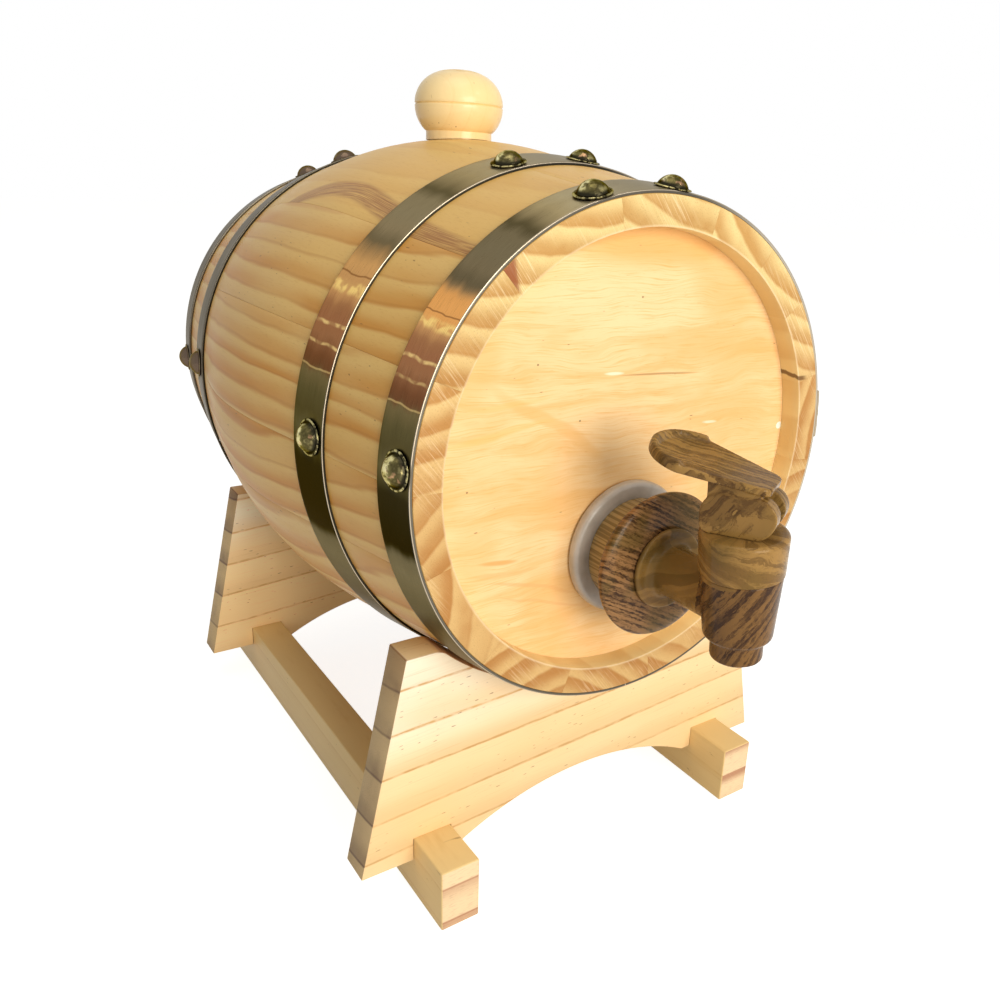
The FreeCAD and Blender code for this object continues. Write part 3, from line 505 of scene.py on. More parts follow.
# %% Stave wood
def stave_pine():
    """Honey spring wood, amber summer bands, and a red resin streak where the third tint is near 0.

    The first tint is 1 on the plain staves at the top and 0 where the bands are strongest; it also lifts their
    long faces a little as painted light from above.
    """
    f = Pine("stave_pine", 8.6, (0.02, 0.74, 0.84, 1.0), 1.5, (0.79, 0.515, 0.170))
    plain = f.tone
    thread, hair = f.fibres(2.4, 0.05), f.fibres(9.0, 0.10, 2.0)
    f.lay((0.62, 0.265, 0.038), f.late * (1.0 - plain * 0.82))
    f.lay((0.44, 0.165, 0.022), f.line * (0.40 - plain * 0.34))
    f.lay((0.80, 0.56, 0.22), f.step(f.clouds(0.03, 0.010), 0.46, 0.70) * 0.45)
    f.lay((0.55, 0.26, 0.055), f.step(thread, 0.50, 0.85) * 0.42)
    f.flecks(0.79, 0.50, 0.60)
    comb = f.noise(f.joined(f.streak * 3.4 + f.along * 0.25, f.along * 0.05, 0.0), 1.0, 2.0, 0.6)
    wide = f.noise(f.joined(f.along * 0.05, 0.0, 7.0))
    off = f.size(f.streak) + (comb - 0.5) * 3.4
    near = 1.0 - f.step(off, 2.5 + wide * 1.4, 4.9 + wide * 1.8)
    f.lay((0.36, 0.155, 0.055), near * f.step(comb, 0.30, 0.62) * 0.80 + near * 0.12)
    # The bore of the chime is paler than the outside, and its end has rings of its own.
    x, y, z = f.place()
    high, depth = z - AXIS_Z, y - (MID_Y - HALF)
    radius = f.length(x, high)
    bore = 1.0 - f.step(radius, 78.5, 79.2)
    f.lay(f.mix((0.90, 0.70, 0.35), (0.76, 0.50, 0.19), f.late * 0.45), bore * 0.92)
    f.sawn((0.76, 0.52, 0.23), (0.53, 0.265, 0.085), 0.92, 0.12, 0.42)
    # On the sawn ends: a random darkness for each stave, the lower ends darkened as painted shade, the upper
    # ends lifted as painted light, and a pale line along the bore's edge as a painted highlight.
    shade = f.maths("FRACT", f.seed * 7.3) * 0.85 + f.step(high, 60.0, -85.0) * 0.75
    f.lay((0.88, 0.84, 0.79), shade * f.cut, "MULTIPLY")
    f.lay((1.13, 1.30, 1.38), f.step(high, 5.0, 75.0) * f.cut, "MULTIPLY")
    f.lay((1.0, 0.84, 0.56), (1.0 - f.step(radius, 78.2, 79.0)) * f.cut * 0.42)
    f.lay((0.30, 0.08, 0.035), near * f.cut * 0.85)
    # A short dark split crosses the recess and the chime, on the right at the front.
    split = 1.0 - f.step(f.size(high - 23.5 - depth * 0.17 + (comb - 0.5) * 1.6), 0.50, 1.15)
    split = split * f.step(x, 0.0, 1.0) * (1.0 - f.step(depth, 8.6, 9.0))
    f.lay((0.15, 0.07, 0.025), split * (1.0 - f.step(radius, 80.0, 83.5)) * 0.85)
    # Painted light: the plain staves at the top are lifted by 4 percent, the others by at most 1.
    f.lay((1.04, 1.04, 1.04), plain * (1.0 - f.cut), "MULTIPLY")
    height = thread * 0.5 + hair * 0.4 - f.late * 0.4 - f.dark * 0.8 + f.scratches * f.cut * 2.0
    return f.finished(height, 0.40, 0.05, 0.12, 0.13)


stave_finish = stave_pine()


# %% Wood of the stand and the bung
def stand_pine(name, ring, band, depth, face, line, end, coat, upper=None):
    """Planed board: thin growth lines far apart, rows of dashes, greyer ends, and a paler upper part. The
    first tint lifts the colour as painted light; with an upper part, the level top and the cradle are
    darkened, partly as darker wood and partly as painted shade.
    """
    f = Pine(name, ring, band, 0.42, face)
    thread, hair = f.fibres(1.8, 0.035), f.fibres(9.0, 0.10, 2.0)
    rough_edge = f.step(f.fibres(0.9, 0.16, 2.0), 0.36, 0.62)
    if upper:
        f.lay(upper[0], f.step(f.across, upper[1], upper[2]))
    f.lay(line, f.late * depth * 0.34 + f.line * depth * (0.25 + rough_edge * 0.60))
    f.lay(dim(face, (0.94, 0.86, 0.74)), f.step(f.clouds(0.035, 0.012), 0.45, 0.72) * 0.5)
    f.lay(line, f.step(thread, 0.52, 0.86) * 0.40)
    f.flecks(0.755 if upper else 0.80, 0.46, 0.60)
    f.sawn(*end, 0.45, 0.06)
    # Painted light: the first tint lifts the colour, most on the rear board in the cask's shadow.
    f.lay((1.40, 1.36, 1.22), f.tone, "MULTIPLY")
    if upper:
        # Darkened by face direction: the level top, and the cradle's sloping faces under the cask more, partly
        # the wood's own darker colour and partly painted shade.
        rise = f.parts(f.node("ShaderNodeTexCoord", out="Normal"))[2]
        level = f.step(rise, 0.90, 0.97)
        f.lay((0.90, 0.76, 0.55), level, "MULTIPLY")
        f.lay((0.55, 0.40, 0.30), f.step(rise, 0.25, 0.45) * (1.0 - level), "MULTIPLY")
    height = thread * 0.5 + hair * 0.5 - f.line * 0.6 - f.dark * 0.8
    return f.finished(height, 0.50, coat, 0.2, 0.25)


board_finish = stand_pine(
    "board_pine", 16.4, (0.30, 0.88, 0.935, 0.985), 1.0, (0.96, 0.715, 0.40), (0.60, 0.34, 0.125),
    ((0.68, 0.50, 0.27), (0.23, 0.145, 0.09), 0.60), 0.03, ((0.985, 0.89, 0.70), 102.0, 70.0),
)
rail_finish = stand_pine(
    "rail_pine", 15.0, (0.55, 0.88, 0.93, 0.985), 0.35, (0.85, 0.63, 0.30), (0.62, 0.37, 0.13),
    ((0.88, 0.67, 0.42), (0.50, 0.26, 0.15), 1.0), 0.03,
)
bung_finish = stand_pine(
    "bung_pine", 6.0, (0.30, 0.80, 0.88, 0.97), 0.35, (0.97, 0.765, 0.405), (0.88, 0.62, 0.27),
    ((0.97, 0.765, 0.41), (0.86, 0.60, 0.28), 0.5), 0.5,
)


# %% Head wood, with its own marks
def head_pine():
    """Pale plank with level fibres, and soft marks placed on the face by x and height from the centre."""
    f = Pine("head_pine", 7.5, (0.20, 0.78, 0.88, 0.99), 2.6, (0.93, 0.655, 0.345))
    x, y, z = f.place()
    z = z - AXIS_Z
    front = f.step(y * -1.0, 0.0, 10.0)
    bend = f.noise(f.joined(x * 0.025, z * 0.05, f.seed)) - 0.5

    def mark(at_x, at_z, half_x, half_z, turn_deg=0.0, soft=0.9, sway=9.0):
        """1 inside a soft ellipse on the front head, 0 outside it."""
        c, s = math.cos(math.radians(turn_deg)), math.sin(math.radians(turn_deg))
        dx, dz = x - at_x, z - at_z + bend * sway
        u, v = (dx * c + dz * s) / half_x, (dz * c - dx * s) / half_z
        return (1.0 - f.step(u * u + v * v, 1.0 - soft, 1.0)) * front

    def lay_marks(rows):
        """Lay a colour over one or more marks, each given as its share and its ellipse."""
        for colour, *marks in rows:
            f.lay(colour, sum(mark(*where) * share for share, *where in marks))

    thread = f.noise(f.joined(x * 0.06, (z + bend * 10.0) * 2.0, 0.0), 1.0, 3.0, 0.65)
    silk = f.noise(f.joined(x * 0.018, (z + bend * 14.0) * 0.20, 4.0), 1.0, 4.0, 0.6)
    pores = f.noise(f.joined(x * 0.28, (z + bend * 10.0) * 2.4, 9.0), 1.0, 1.0)
    blush = f.noise(f.joined(x * 0.02, (z + bend * 8.0) * 0.045, 15.0), 1.0, 3.0, 0.6)
    amber, dot = (0.85, 0.48, 0.17), (0.12, 0.06, 0.02)
    f.lay(amber, f.step(silk, 0.44, 0.68) * 0.60)
    f.lay(amber, f.step(blush, 0.45, 0.66) * 0.42)
    lay_marks([
        ((0.98, 0.725, 0.42), (0.65, -4, 56, 52, 18, -6)),
        (amber, (0.85, 4, 75, 44, 13, 0, 0.9, 3.0), (0.40, 38, 58, 24, 15, -40)),
        (amber, (0.45, 34, 38, 44, 7, -4), (0.45, 52, 29, 25, 9, 8), (0.5, -63, 36, 12, 12)),
        (amber, (0.5, -32, -52, 14, 22, 20), (0.35, -62, -24, 11, 13)),
        (amber, (0.35, 46, -4, 34, 26, -8)),
        (amber, (0.30, -14, -20, 62, 13, -24), (0.60, -34, 15, 32, 3.2, -32)),
        ((0.95, 0.52, 0.15), (0.42, -55, 14, 26, 1.9, 6), (0.32, -50, 24, 20, 1.4, 4)),
        ((0.80, 0.38, 0.11), (0.75, -53, -29.7, 9, 1.1, -6, 0.9, 2.0), (0.35, -50, -33, 16, 1.6, -6)),
        ((0.80, 0.40, 0.15), (0.40, -38, -42, 26, 1.0, -20), (0.40, -34, -49, 24, 0.8, -19)),
    ])
    f.lay((0.80, 0.43, 0.12), f.step(thread, 0.47, 0.76) * 0.68)
    f.lay((0.74, 0.36, 0.10), f.step(pores, 0.66, 0.78) * f.step(silk, 0.36, 0.60) * 0.45)
    lay_marks([
        ((0.42, 0.22, 0.07), (0.70, 11, 28.6, 22, 0.50, -2.6, 0.9, 1.0)),
        ((1.0, 0.93, 0.72), (0.75, -9, 30.3, 5.0, 0.75, -2.6, 0.9, 1.0),
         (0.6, 38, 8.2, 4.5, 0.7, -4, 0.9, 1.0)),
        *((dot, (0.70, *at, 0.50, 0.42, 0.0, 0.8, 0.0))
          for at in ((0.9, 55.1), (-22.4, 15.2), (-65.2, -3.4), (-40.1, 35.3))),
        ((1.0, 0.99, 0.92), (0.9, 76.9, 2.6, 1.7, 1.5, 20, 0.3, 0.0)),
    ])
    f.flecks(0.85, 0.42, 0.8)
    return f.finished(thread * 0.8 - f.dark, 0.46, 0.04, 0.2, 0.16)


head_finish = head_pine()
print("finishes:", [m.name for m in bpy.data.materials])

# %% [markdown]
# ## Hoop steel and brass nails
#
# A hoop is strip steel, polished along its length, so its scratches run round the cask and a
# reflection smears across the strip. Its colour is a painted reflection of a dark room, in bands
# from olive to copper with painted glints. The angle round the cask picks the band, and fine
# noise stretched round the hoop makes the scratches. The nails are brass-plated domes, painted
# with a room's reflection and with painted shade round their foot.

# %% Hoop steel
PAINTED_REFLECTION_BANDS = [
    (0, (0.38, 0.33, 0.22)), (10, (0.48, 0.42, 0.29)), (18, (0.52, 0.44, 0.27)), (23, (0.44, 0.35, 0.19)),
    (27, (0.28, 0.22, 0.12)), (30, (0.12, 0.10, 0.056)), (33, (0.27, 0.22, 0.13)), (38, (0.27, 0.22, 0.13)),
    (42, (0.27, 0.21, 0.12)), (45.5, (0.16, 0.125, 0.07)), (48, (0.38, 0.225, 0.095)),
    (51, (0.62, 0.34, 0.125)), (54.5, (0.56, 0.30, 0.115)), (57.8, (0.54, 0.28, 0.11)),
    (60, (0.34, 0.155, 0.067)), (62.5, (0.32, 0.137, 0.062)), (66, (0.31, 0.14, 0.063)),
    (70, (0.17, 0.068, 0.030)), (72.2, (0.145, 0.062, 0.028)), (73.4, (0.16, 0.12, 0.052)),
    (77, (0.10, 0.082, 0.034)), (81, (0.078, 0.063, 0.026)), (85, (0.10, 0.085, 0.036)),
    (91, (0.026, 0.022, 0.012)), (106, (0.018, 0.016, 0.010)), (108, (0.145, 0.125, 0.075)),
    (112, (0.18, 0.155, 0.093)), (120, (0.145, 0.125, 0.075)), (150, (0.17, 0.14, 0.08)),
    (180, (0.26, 0.22, 0.13)),
]


def hoop_steel():
    """Metal whose colour is a ramp of painted reflections over the angle from the top, scratched along the
    strip.
    """
    f = Finish("hoop_steel")
    turn, along, edge = f.vector("grain")
    at_end, at_rear, _ = f.vector("tint")
    scratch = f.noise(f.joined(turn * 0.20, along * 7.0, 0.0), 1.0, 3.0, 0.65)
    wave = f.noise(f.joined(along * 0.16, turn * 0.02, 3.0), 1.0, 1.0) - 0.5
    level = f.size(turn) + wave * 0.9
    angle = level + wave * 2.6
    shift = at_end * f.step(angle, 85.0, 102.0) * 4.5 - at_end * (1.0 - f.step(angle, 50.0, 62.0)) * 1.6
    level, angle = level + shift, angle + shift

    def across(at, half, wavy, seed):
        """A thin line across the strip at an angle, soft over half its width: the painted glints and one
        painted dark line of the reflection.
        """
        sway = f.noise(f.joined(along * 0.11, seed, 0.0), 1.0, 0.0) - 0.5
        return 1.0 - f.step(f.size(level - at + sway * wavy), half * 0.2, half)

    # Painted reflection of a dark room: a band for each angle from the top, deeper and with an orange glow on
    # the head hoops.
    f.colour = f.ramp(angle / 180.0, [(at / 180.0, colour) for at, colour in PAINTED_REFLECTION_BANDS])
    f.lay((0.07, 0.055, 0.03), at_end * f.within(angle, 26.0, 31.0, 44.0, 49.0) * 0.42)
    f.lay((0.80, 0.37, 0.105), at_end * f.within(angle, 46.5, 49.5, 54.5, 58.0) * 0.8)
    # Painted highlights: glints across the strip at set angles, broken into patches, and a thin painted dark
    # line beside the orange band.
    patchy = f.step(f.noise(f.joined(along * 0.24, angle * 0.5, 6.0), 1.0, 1.0), 0.38, 0.60)
    lines = across(63.9, 0.55, 0.9, 2.0) + across(68.0, 0.48, 1.0, 3.0) * (1.0 - at_end * 0.45)
    f.lay((0.94, 0.66, 0.22), across(56.2, 1.9, 1.0, 1.0) * (0.12 + patchy * 0.72))
    f.lay((0.90, 0.64, 0.25), lines * (0.12 + patchy * 0.58) + across(72.8, 0.30, 0.8, 4.0) * 0.36)
    f.lay((0.20, 0.075, 0.025), across(53.4, 0.30, 1.0, 5.0) * 0.7)
    # Painted reflection on the rear hoops: dark metal with pale blotches.
    blotch = f.step(f.noise(f.joined(turn * 0.06, along * 0.22, 2.0), 1.0, 3.0, 0.6), 0.35, 0.75)
    f.lay(f.mix((0.048, 0.043, 0.035), (0.20, 0.18, 0.145), blotch), at_rear)
    # Painted sheen: pale scratches only where the painted reflection is bright.
    bright = f.step(f.node("ShaderNodeRGBToBW", {}, [f.colour]), 0.04, 0.12)
    f.lay((0.70, 0.58, 0.38), f.step(scratch, 0.58, 0.80) * 0.26 * bright)
    f.lay((0.04, 0.03, 0.02), f.step(scratch, 0.50, 0.30) * 0.35)
    # The sheared edges: a dark wall as painted shade, lit on the right at the front as painted light, and a
    # pale lip as a painted highlight.
    right = f.within(turn, 5.0, 40.0, 125.0, 150.0) * (1.0 - at_rear)
    wall = f.mix((0.030, 0.026, 0.018), (0.12, 0.105, 0.08), at_end)
    wall = f.mix(wall, (0.62, 0.54, 0.42), right * 0.9)
    lip = f.mix((0.50, 0.42, 0.31), (0.13, 0.115, 0.09), at_rear)
    f.lay(f.mix(wall, lip, f.step(edge, 0.70, 0.86)), f.step(edge, 0.05, 0.15))
    return f.surface(
        Metallic=1.0, Roughness=0.22 + scratch * 0.16, Specular_Tint=(0.5, 0.46, 0.39, 1.0),
        Normal=f.bump(scratch, 0.16, 0.03),
    )


# %% Nail brass and plain metals
PAINTED_ROOM_REFLECTION = [
    (0.0, (0.42, 0.36, 0.16)), (0.20, (0.07, 0.058, 0.022)), (0.36, (0.16, 0.135, 0.05)),
    (0.44, (0.60, 0.53, 0.25)), (0.55, (0.86, 0.80, 0.50)), (0.62, (0.34, 0.28, 0.11)),
    (0.76, (0.05, 0.042, 0.018)), (0.88, (0.20, 0.165, 0.07)), (1.0, (0.10, 0.08, 0.035)),
]


def nail_brass():
    """Plated brass: a dome painted with the reflection of a bright room and a dark edge, and a dark ring under
    the brim as painted shade.
    """
    f = Finish("nail_brass")
    here = f.joined(*f.vector("grain"))
    off, ahead, at_rear = f.vector("tint")
    patch, dents = f.noise(here, 0.50, 3.0, 0.6), f.noise(here, 0.34)
    # Painted reflection and shade: the ramp paints a room across the dome from front to back, the reddish
    # patches are painted reflection, the dark ring round the foot is painted shade, the pale brim edge is a
    # painted highlight, and the rear nails are darkened as painted reflection.
    f.colour = f.ramp((ahead + (dents - 0.5) * 7.0) / 12.0 + 0.5, PAINTED_ROOM_REFLECTION)
    f.lay((0.06, 0.048, 0.02), f.step(patch, 0.48, 0.62) * 0.75)
    f.lay((0.62, 0.34, 0.20), f.step(dents, 0.60, 0.72) * 0.55)
    f.lay((0.025, 0.022, 0.013), f.step(off, 4.3, 5.0))
    f.lay((0.46, 0.40, 0.19), f.step(off, 5.6, 5.9) * f.step(patch, 0.60, 0.42))
    f.lay((0.13, 0.09, 0.065), at_rear * 0.85)
    return f.surface(
        Metallic=1.0, Roughness=0.14 + patch * 0.2, Specular_Tint=(0.5, 0.45, 0.3, 1.0),
        Normal=f.bump(dents, 0.6, 0.7),
    )


def plain_metal(name, colour, rough):
    """Bright wire or screw metal with a faint drawn grain."""
    f = Finish(name, colour)
    grain = f.noise(f.joined(*f.place()), 0.9)
    f.lay(dim(colour, 0.72), grain)
    return f.surface(Metallic=1.0, Roughness=rough + grain * 0.1)


hoop_finish, nail_finish = hoop_steel(), nail_brass()
wire_finish = plain_metal("drawn_steel", (0.66, 0.66, 0.65), 0.25)
screw_finish = plain_metal("zinc_screw", (0.70, 0.64, 0.46), 0.32)

# %% [markdown]
# ## Printed tap plastic and silicone
#
# The tap is glossy plastic under a wood-look film. The film is floated on in a bath, so its
# lines wrap round each moulding in their own direction: level streaks on the disc, slanting
# bands on the barrel, swirls on the cap. One function makes them all from the direction,
# width and strength of the streaks.


# %% Wood-look film and soft rings
def film(name, light, dark, streak, width, contrast, swirl, fine=0.35, olive=0.0, rag=0.9, torn=0.0):
    """Gloss plastic: streaks across the direction (a, b, c) of the grain vector, bent by slow noise.

    With `rag` the streaks' edges fray, and with `torn` above 0 they break up into dashes.
    """
    f = Finish(name, light)
    x, y, z = f.vector("grain")
    here = f.joined(x, y, z)
    slow, knots = f.noise(here, 0.055) - 0.5, f.noise(here, 0.16, 3.0, 0.6) - 0.5
    level = x * streak[0] + y * streak[1] + z * streak[2] + slow * (swirl * 9.0) + knots * swirl * 1.8
    along = x * streak[1] - y * streak[0] + x * streak[2] * 0.7 - z * streak[0] * 0.7
    ragged = f.noise(f.joined(level * 1.6, along * 0.35, 1.0), 1.0, 3.0, 0.7) - 0.5
    level = (level + ragged * (rag * width)) / width
    wide = f.noise(f.joined(level, slow * 0.6 + along * 0.012, 2.0), 1.0, 1.0)
    thin = f.noise(f.joined(level * 3.4, (x + y + z) * 0.05, 5.0), 1.0, 3.0, 0.7)
    dash = f.noise(f.joined(level * 4.0, along * 0.45, 8.0), 1.0, 2.0, 0.6)
    gaps = f.noise(f.joined(level * 2.2, along * 0.16, 11.0), 1.0, 3.0, 0.65)
    band = f.step(wide, 0.455, 0.545) * (1.0 - f.step(gaps, 0.54, 0.45) * torn)
    line = f.step(thin, 0.50, 0.58) * f.step(dash, 0.42, 0.54)
    f.lay(dark, band * contrast)
    f.lay(dim(dark, 0.55), line * fine)
    f.lay((0.12, 0.085, 0.018), f.step(slow, -0.05, 0.12) * olive)
    return f.surface(
        Roughness=0.24 + line * 0.12, Specular_IOR_Level=0.10, Coat_Weight=0.06, Coat_Roughness=0.06,
        Normal=f.bump(line + band * 0.5, 0.10, 0.05),
    )


def silicone(name, colour, deep, rough):
    """Soft translucent rubber, clouded a little."""
    f = Finish(name, colour)
    cloud = f.noise(f.joined(*f.place()), 0.12, 3.0)
    f.lay(deep, f.step(cloud, 0.3, 0.75))
    return f.surface(Roughness=rough + cloud * 0.1, Coat_Weight=0.2)


disc_film = film("disc_film", (0.315, 0.166, 0.066), (0.034, 0.015, 0.008), (0.55, 0.25, 1.0), 1.5, 0.92,
                 swirl=0.22, fine=0.85, rag=1.9, torn=0.55, olive=0.45)
barrel_film = film("barrel_film", (0.205, 0.105, 0.034), (0.036, 0.015, 0.008), (1.0, 0.0, -0.75), 2.8, 0.92,
                   swirl=0.30, fine=0.7, rag=1.5, torn=0.35)
cap_film = film("cap_film", (0.345, 0.198, 0.060), (0.145, 0.077, 0.022), (0.35, 0.0, 1.0), 3.4, 0.68,
                swirl=1.5, fine=0.40, olive=0.35, rag=1.2)
lever_film = film("lever_film", (0.325, 0.187, 0.056), (0.080, 0.036, 0.011), (1.0, 0.06, 0.25), 1.7, 0.78,
                  swirl=0.85, fine=0.6, olive=0.20, rag=1.5, torn=0.4)
bell_film = film("bell_film", (0.33, 0.185, 0.054), (0.135, 0.072, 0.020), (0.0, 1.0, 0.3), 2.4, 0.6,
                 swirl=0.8, fine=0.15, olive=0.4)
collar_film = film("collar_film", (0.44, 0.305, 0.130), (0.17, 0.115, 0.045), (0.0, 0.0, 1.0), 1.2, 0.70,
                   swirl=0.1)
washer_finish = silicone("washer_silicone", (0.53, 0.48, 0.42), (0.40, 0.355, 0.30), 0.34)
plug_finish = silicone("plug_silicone", (0.78, 0.76, 0.72), (0.66, 0.64, 0.60), 0.5)
nut_finish = silicone("nut_plastic", (0.20, 0.12, 0.05), (0.13, 0.075, 0.035), 0.5)

# %% [markdown]
# ## Staves
#
# A stave is a plank, wide in the middle and narrow at its ends, bent to the cask's curve. It
# could be cut from one turned barrel, but then the joints would be only painted lines.
# Instead each stave is a closed section carried along the cask. Its long edges are eased by a
# tenth of a millimetre, so neighbours meet in a fine groove that catches the light, and its
# ends by half of one. Near each end the inside steps to the chime's bore and to the groove
# for the head.

# %% Stave stations and section
CHIME_BORE = HEAD_R - STAVE_T
GROOVE_R = CHIME_BORE + CROZE
ease_steps, ease_drop = np.array([0.0, 0.12, 0.45]), np.array([0.45, 0.12, 0.0])
groove_y = [RECESS, RECESS, RECESS + HEAD_T, RECESS + HEAD_T]
chime_y = np.concatenate([ease_steps, [4.0], groove_y, [20.0]])
long_y = np.linspace(24.0, 2 * HALF - 24.0, 53)
station_y = np.concatenate([chime_y, long_y, 2 * HALF - chime_y[::-1]]) - HALF
end_in = np.concatenate([
    CHIME_BORE + ease_drop, [CHIME_BORE, CHIME_BORE, GROOVE_R, GROOVE_R],
    cask_radius(HALF - chime_y[7:9]) - STAVE_T,
])
station_in = np.concatenate([end_in, cask_radius(long_y - HALF) - STAVE_T, end_in[::-1]])
end_drop = np.concatenate([ease_drop, np.zeros(6)])
station_out = cask_radius(station_y) - np.concatenate([end_drop, 0 * long_y, end_drop[::-1]])


def stave_surface(start, sweep):
    """Section points: angle = start + share of the sweep, radius between the two faces."""
    start, sweep = math.radians(start), math.radians(sweep)
    share, near, drop = np.linspace(0, 1, 13)[1:-1], np.array([0.02, 0.06, 0.16]), np.array([0.10, 0.03, 0.0])
    outer, inner, y = station_out[:, None], station_in[:, None], station_y[:, None]
    middle, gap = start + share * sweep + 0 * outer, 0.02 / outer
    angle_out = np.concatenate([start + near / outer, middle, start + sweep - near[::-1] / outer], 1)
    radius_out = outer - np.concatenate([drop, 0 * share, drop[::-1]])
    angle_in = np.clip(start + sweep * np.linspace(1, 0, 9), start + gap, start + sweep - gap)
    angle = np.concatenate([angle_out, angle_in], 1)
    radius = np.concatenate([radius_out, inner + 0 * angle_in], 1)
    return round_cask(radius, angle, y), tube_quads(*angle.shape)


def stave_grain(start, sweep, pith_angle, pith_distance, bend_share):
    """Place in the log: across the plank, along it, and up from a pith set off at an angle."""
    pith = pith_distance * np.array([math.cos(pith_angle), 0, math.sin(pith_angle)])

    def place(at):
        angle, y, radius = about_cask(at)
        angle = (angle - math.radians(start + sweep / 2) + np.pi) % (2 * np.pi) - np.pi
        up = radius * np.cos(angle) - HEAD_R - (cask_radius(y) - HEAD_R) * (1 - bend_share)
        return np.stack([radius * np.sin(angle), y, up], -1) - pith

    return place


def cut_faces(mesh, direction, low=0.7):
    """Mark the faces cut across the grain: 1 where the normal runs along the log."""
    marks = (np.abs(vectors(mesh.polygons, "normal") @ np.asarray(direction, float)) > low).astype(np.float32)
    counts = np.empty(len(mesh.polygons), np.int32)
    mesh.polygons.foreach_get("loop_total", counts)
    layer = mesh.attributes.new("cut", "FLOAT_VECTOR", "CORNER")
    layer.data.foreach_set("vector", np.repeat(np.repeat(marks, counts), 3))


def red_streak(at):
    """Distance in mm across the last stave from a resin streak that arches over it.

    Its angle is highest, -35.8 degrees, 98 mm behind the front end. Towards the front it sinks by
    6 (1 - exp(-(d / 42)^1.5)) and towards the rear by 3.8 (d / 35)^2.3, d being the way from the top.
    Below the head radius the depth adds 0.6 of itself, so on the chime the streak ends in a wedge.
    """
    angle, y, radius = about_cask(at)
    ahead, behind = np.maximum(98.0 - HALF - y, 0), np.clip(y + HALF - 98.0, 0, 60)
    streak = -35.8 - 6.0 * (1 - np.exp(-((ahead / 42.0) ** 1.5))) - 3.8 * (behind / 35.0) ** 2.3
    return np.radians(np.degrees(angle) - streak) * radius + np.maximum(HEAD_R - radius, 0) * 0.6


# %% Build the fifteen staves
# Staves whose bands are faint and whose faces get a little painted light from above, and the pith's angle in
# radians for those sawn flat.
PLAIN, FLAT_SAWN = (15, 1, 2), {15: 1.02, 1: 1.22, 2: 1.16, 3: 1.30, 5: 1.25}
bung_seat = float(cask_radius(BUNG_BACK))
bung_hole = [(0, bung_seat - 20), (11.35, bung_seat - 20), (12.92, bung_seat + 10), (0, bung_seat + 10)]
log = np.random.default_rng(11)
edges = FIRST_JOINT + np.concatenate([[0], np.cumsum(SHARES)])
for number, (start, share) in enumerate(zip(edges, SHARES), 1):
    mesh = solid_mesh("stave", *stave_surface(start, share))
    if number == 1:
        mesh = drilled(mesh, bung_hole, 64, (0, MID_Y + BUNG_BACK, AXIS_Z))
    side = 1 if log.uniform() < 0.5 else -1
    angle, distance = log.uniform(0.25, 0.95), log.uniform(45, 110)
    angle = math.pi / 2 - side * (math.pi / 2 - FLAT_SAWN.get(number, angle))
    grain = stave_grain(start, share, angle, distance, log.uniform(0.72, 0.95))
    tone, seed = log.uniform(0.0, 1.0), log.uniform(0, 10)
    tints = np.full((len(mesh.vertices), 3), (1.0 if number in PLAIN else tone * 0.25, seed, NO_STREAK))
    if number == len(SHARES):
        tints[:, 2] = red_streak(points_of(mesh))
    cut_faces(mesh, (0, 1, 0))
    node = "stave_%02d" % number
    piece("wood_" + node, mesh, "cask", stave_finish, node, grain, tints)
print("staves:", len(SHARES))

# %% [markdown]
# ## Heads
#
# Each head is a flat disc whose rim sits in the staves' groove. It is turned with a bevelled
# rim, and its grain runs level across the cask, as a head is laid. The front one is bored
# for the tap's shank.

# %% Two heads
NO_CUT = 2.0  # More than any normal reaches: the sawn rim is hidden in the groove.
SHANK_R = 8.6
rim, half_t, bevel = GROOVE_R - 0.15, HEAD_T / 2 - 0.05, 1.0
upper_rim = [(0, half_t), (rim - bevel, half_t), (rim, half_t - bevel)]
disc = [(r, -h) for r, h in upper_rim] + upper_rim[::-1]


def head_grain(at):
    """The plank runs along x, and its pith lies far below and behind the face."""
    return np.stack([(at[:, 2] - AXIS_Z) + 14.0, at[:, 0], (at[:, 1] - MID_Y) * 0.8 + 150.0], -1)


for name, sign in (("front_head", -1), ("rear_head", 1)):
    mesh = solid_mesh(name, *turned(disc, 128, (0, MID_Y + sign * (HALF - RECESS - HEAD_T / 2), AXIS_Z), "-y"))
    if sign < 0:
        bore = [(0, -20), (SHANK_R, -20), (SHANK_R, 20), (0, 20)]
        mesh = drilled(mesh, bore, 64, (0, FACE_Y + HEAD_T / 2, SHANK_Z), "-y")
    cut_faces(mesh, (1, 0, 0), NO_CUT)
    tint = (0.3, 2.0 + sign, NO_STREAK)
    piece("wood_" + name, mesh, "cask", head_finish, name, head_grain, tint)
print("head radius", rim)

# %% [markdown]
# ## Hoops and nails
#
# A hoop is a strip closed into a ring: its section follows the cask's slope and its sheared
# edges are rounded a little. The ends lap for a short way under the right-hand nails. A nail
# head is a shallow dome that turns out into a thin brim.

# %% Hoops
HOOP_T, HOOP_GAP, HOOP_EDGE = 1.0, 0.1, 0.22
LAP = (79.0, 91.0)
HOOPS = {  # name: its low and high end and its row of nails from the middle, then the nails' angles
    "front_head_hoop": (-126.7, -109.7, -119.9, (-85.0, -15.0, 5.5, 85.0)),
    "front_quarter_hoop": (-77.0, -58.3, -69.0, (-86.5, -13.2, 5.5, 86.0)),
    "rear_quarter_hoop": (58.3, 77.0, 69.0, (-86.8, -15.0, 6.5, 85.0)),
    "rear_head_hoop": (109.7, 126.7, 119.9, (-91.0, -15.7, 6.0, 84.0)),
}


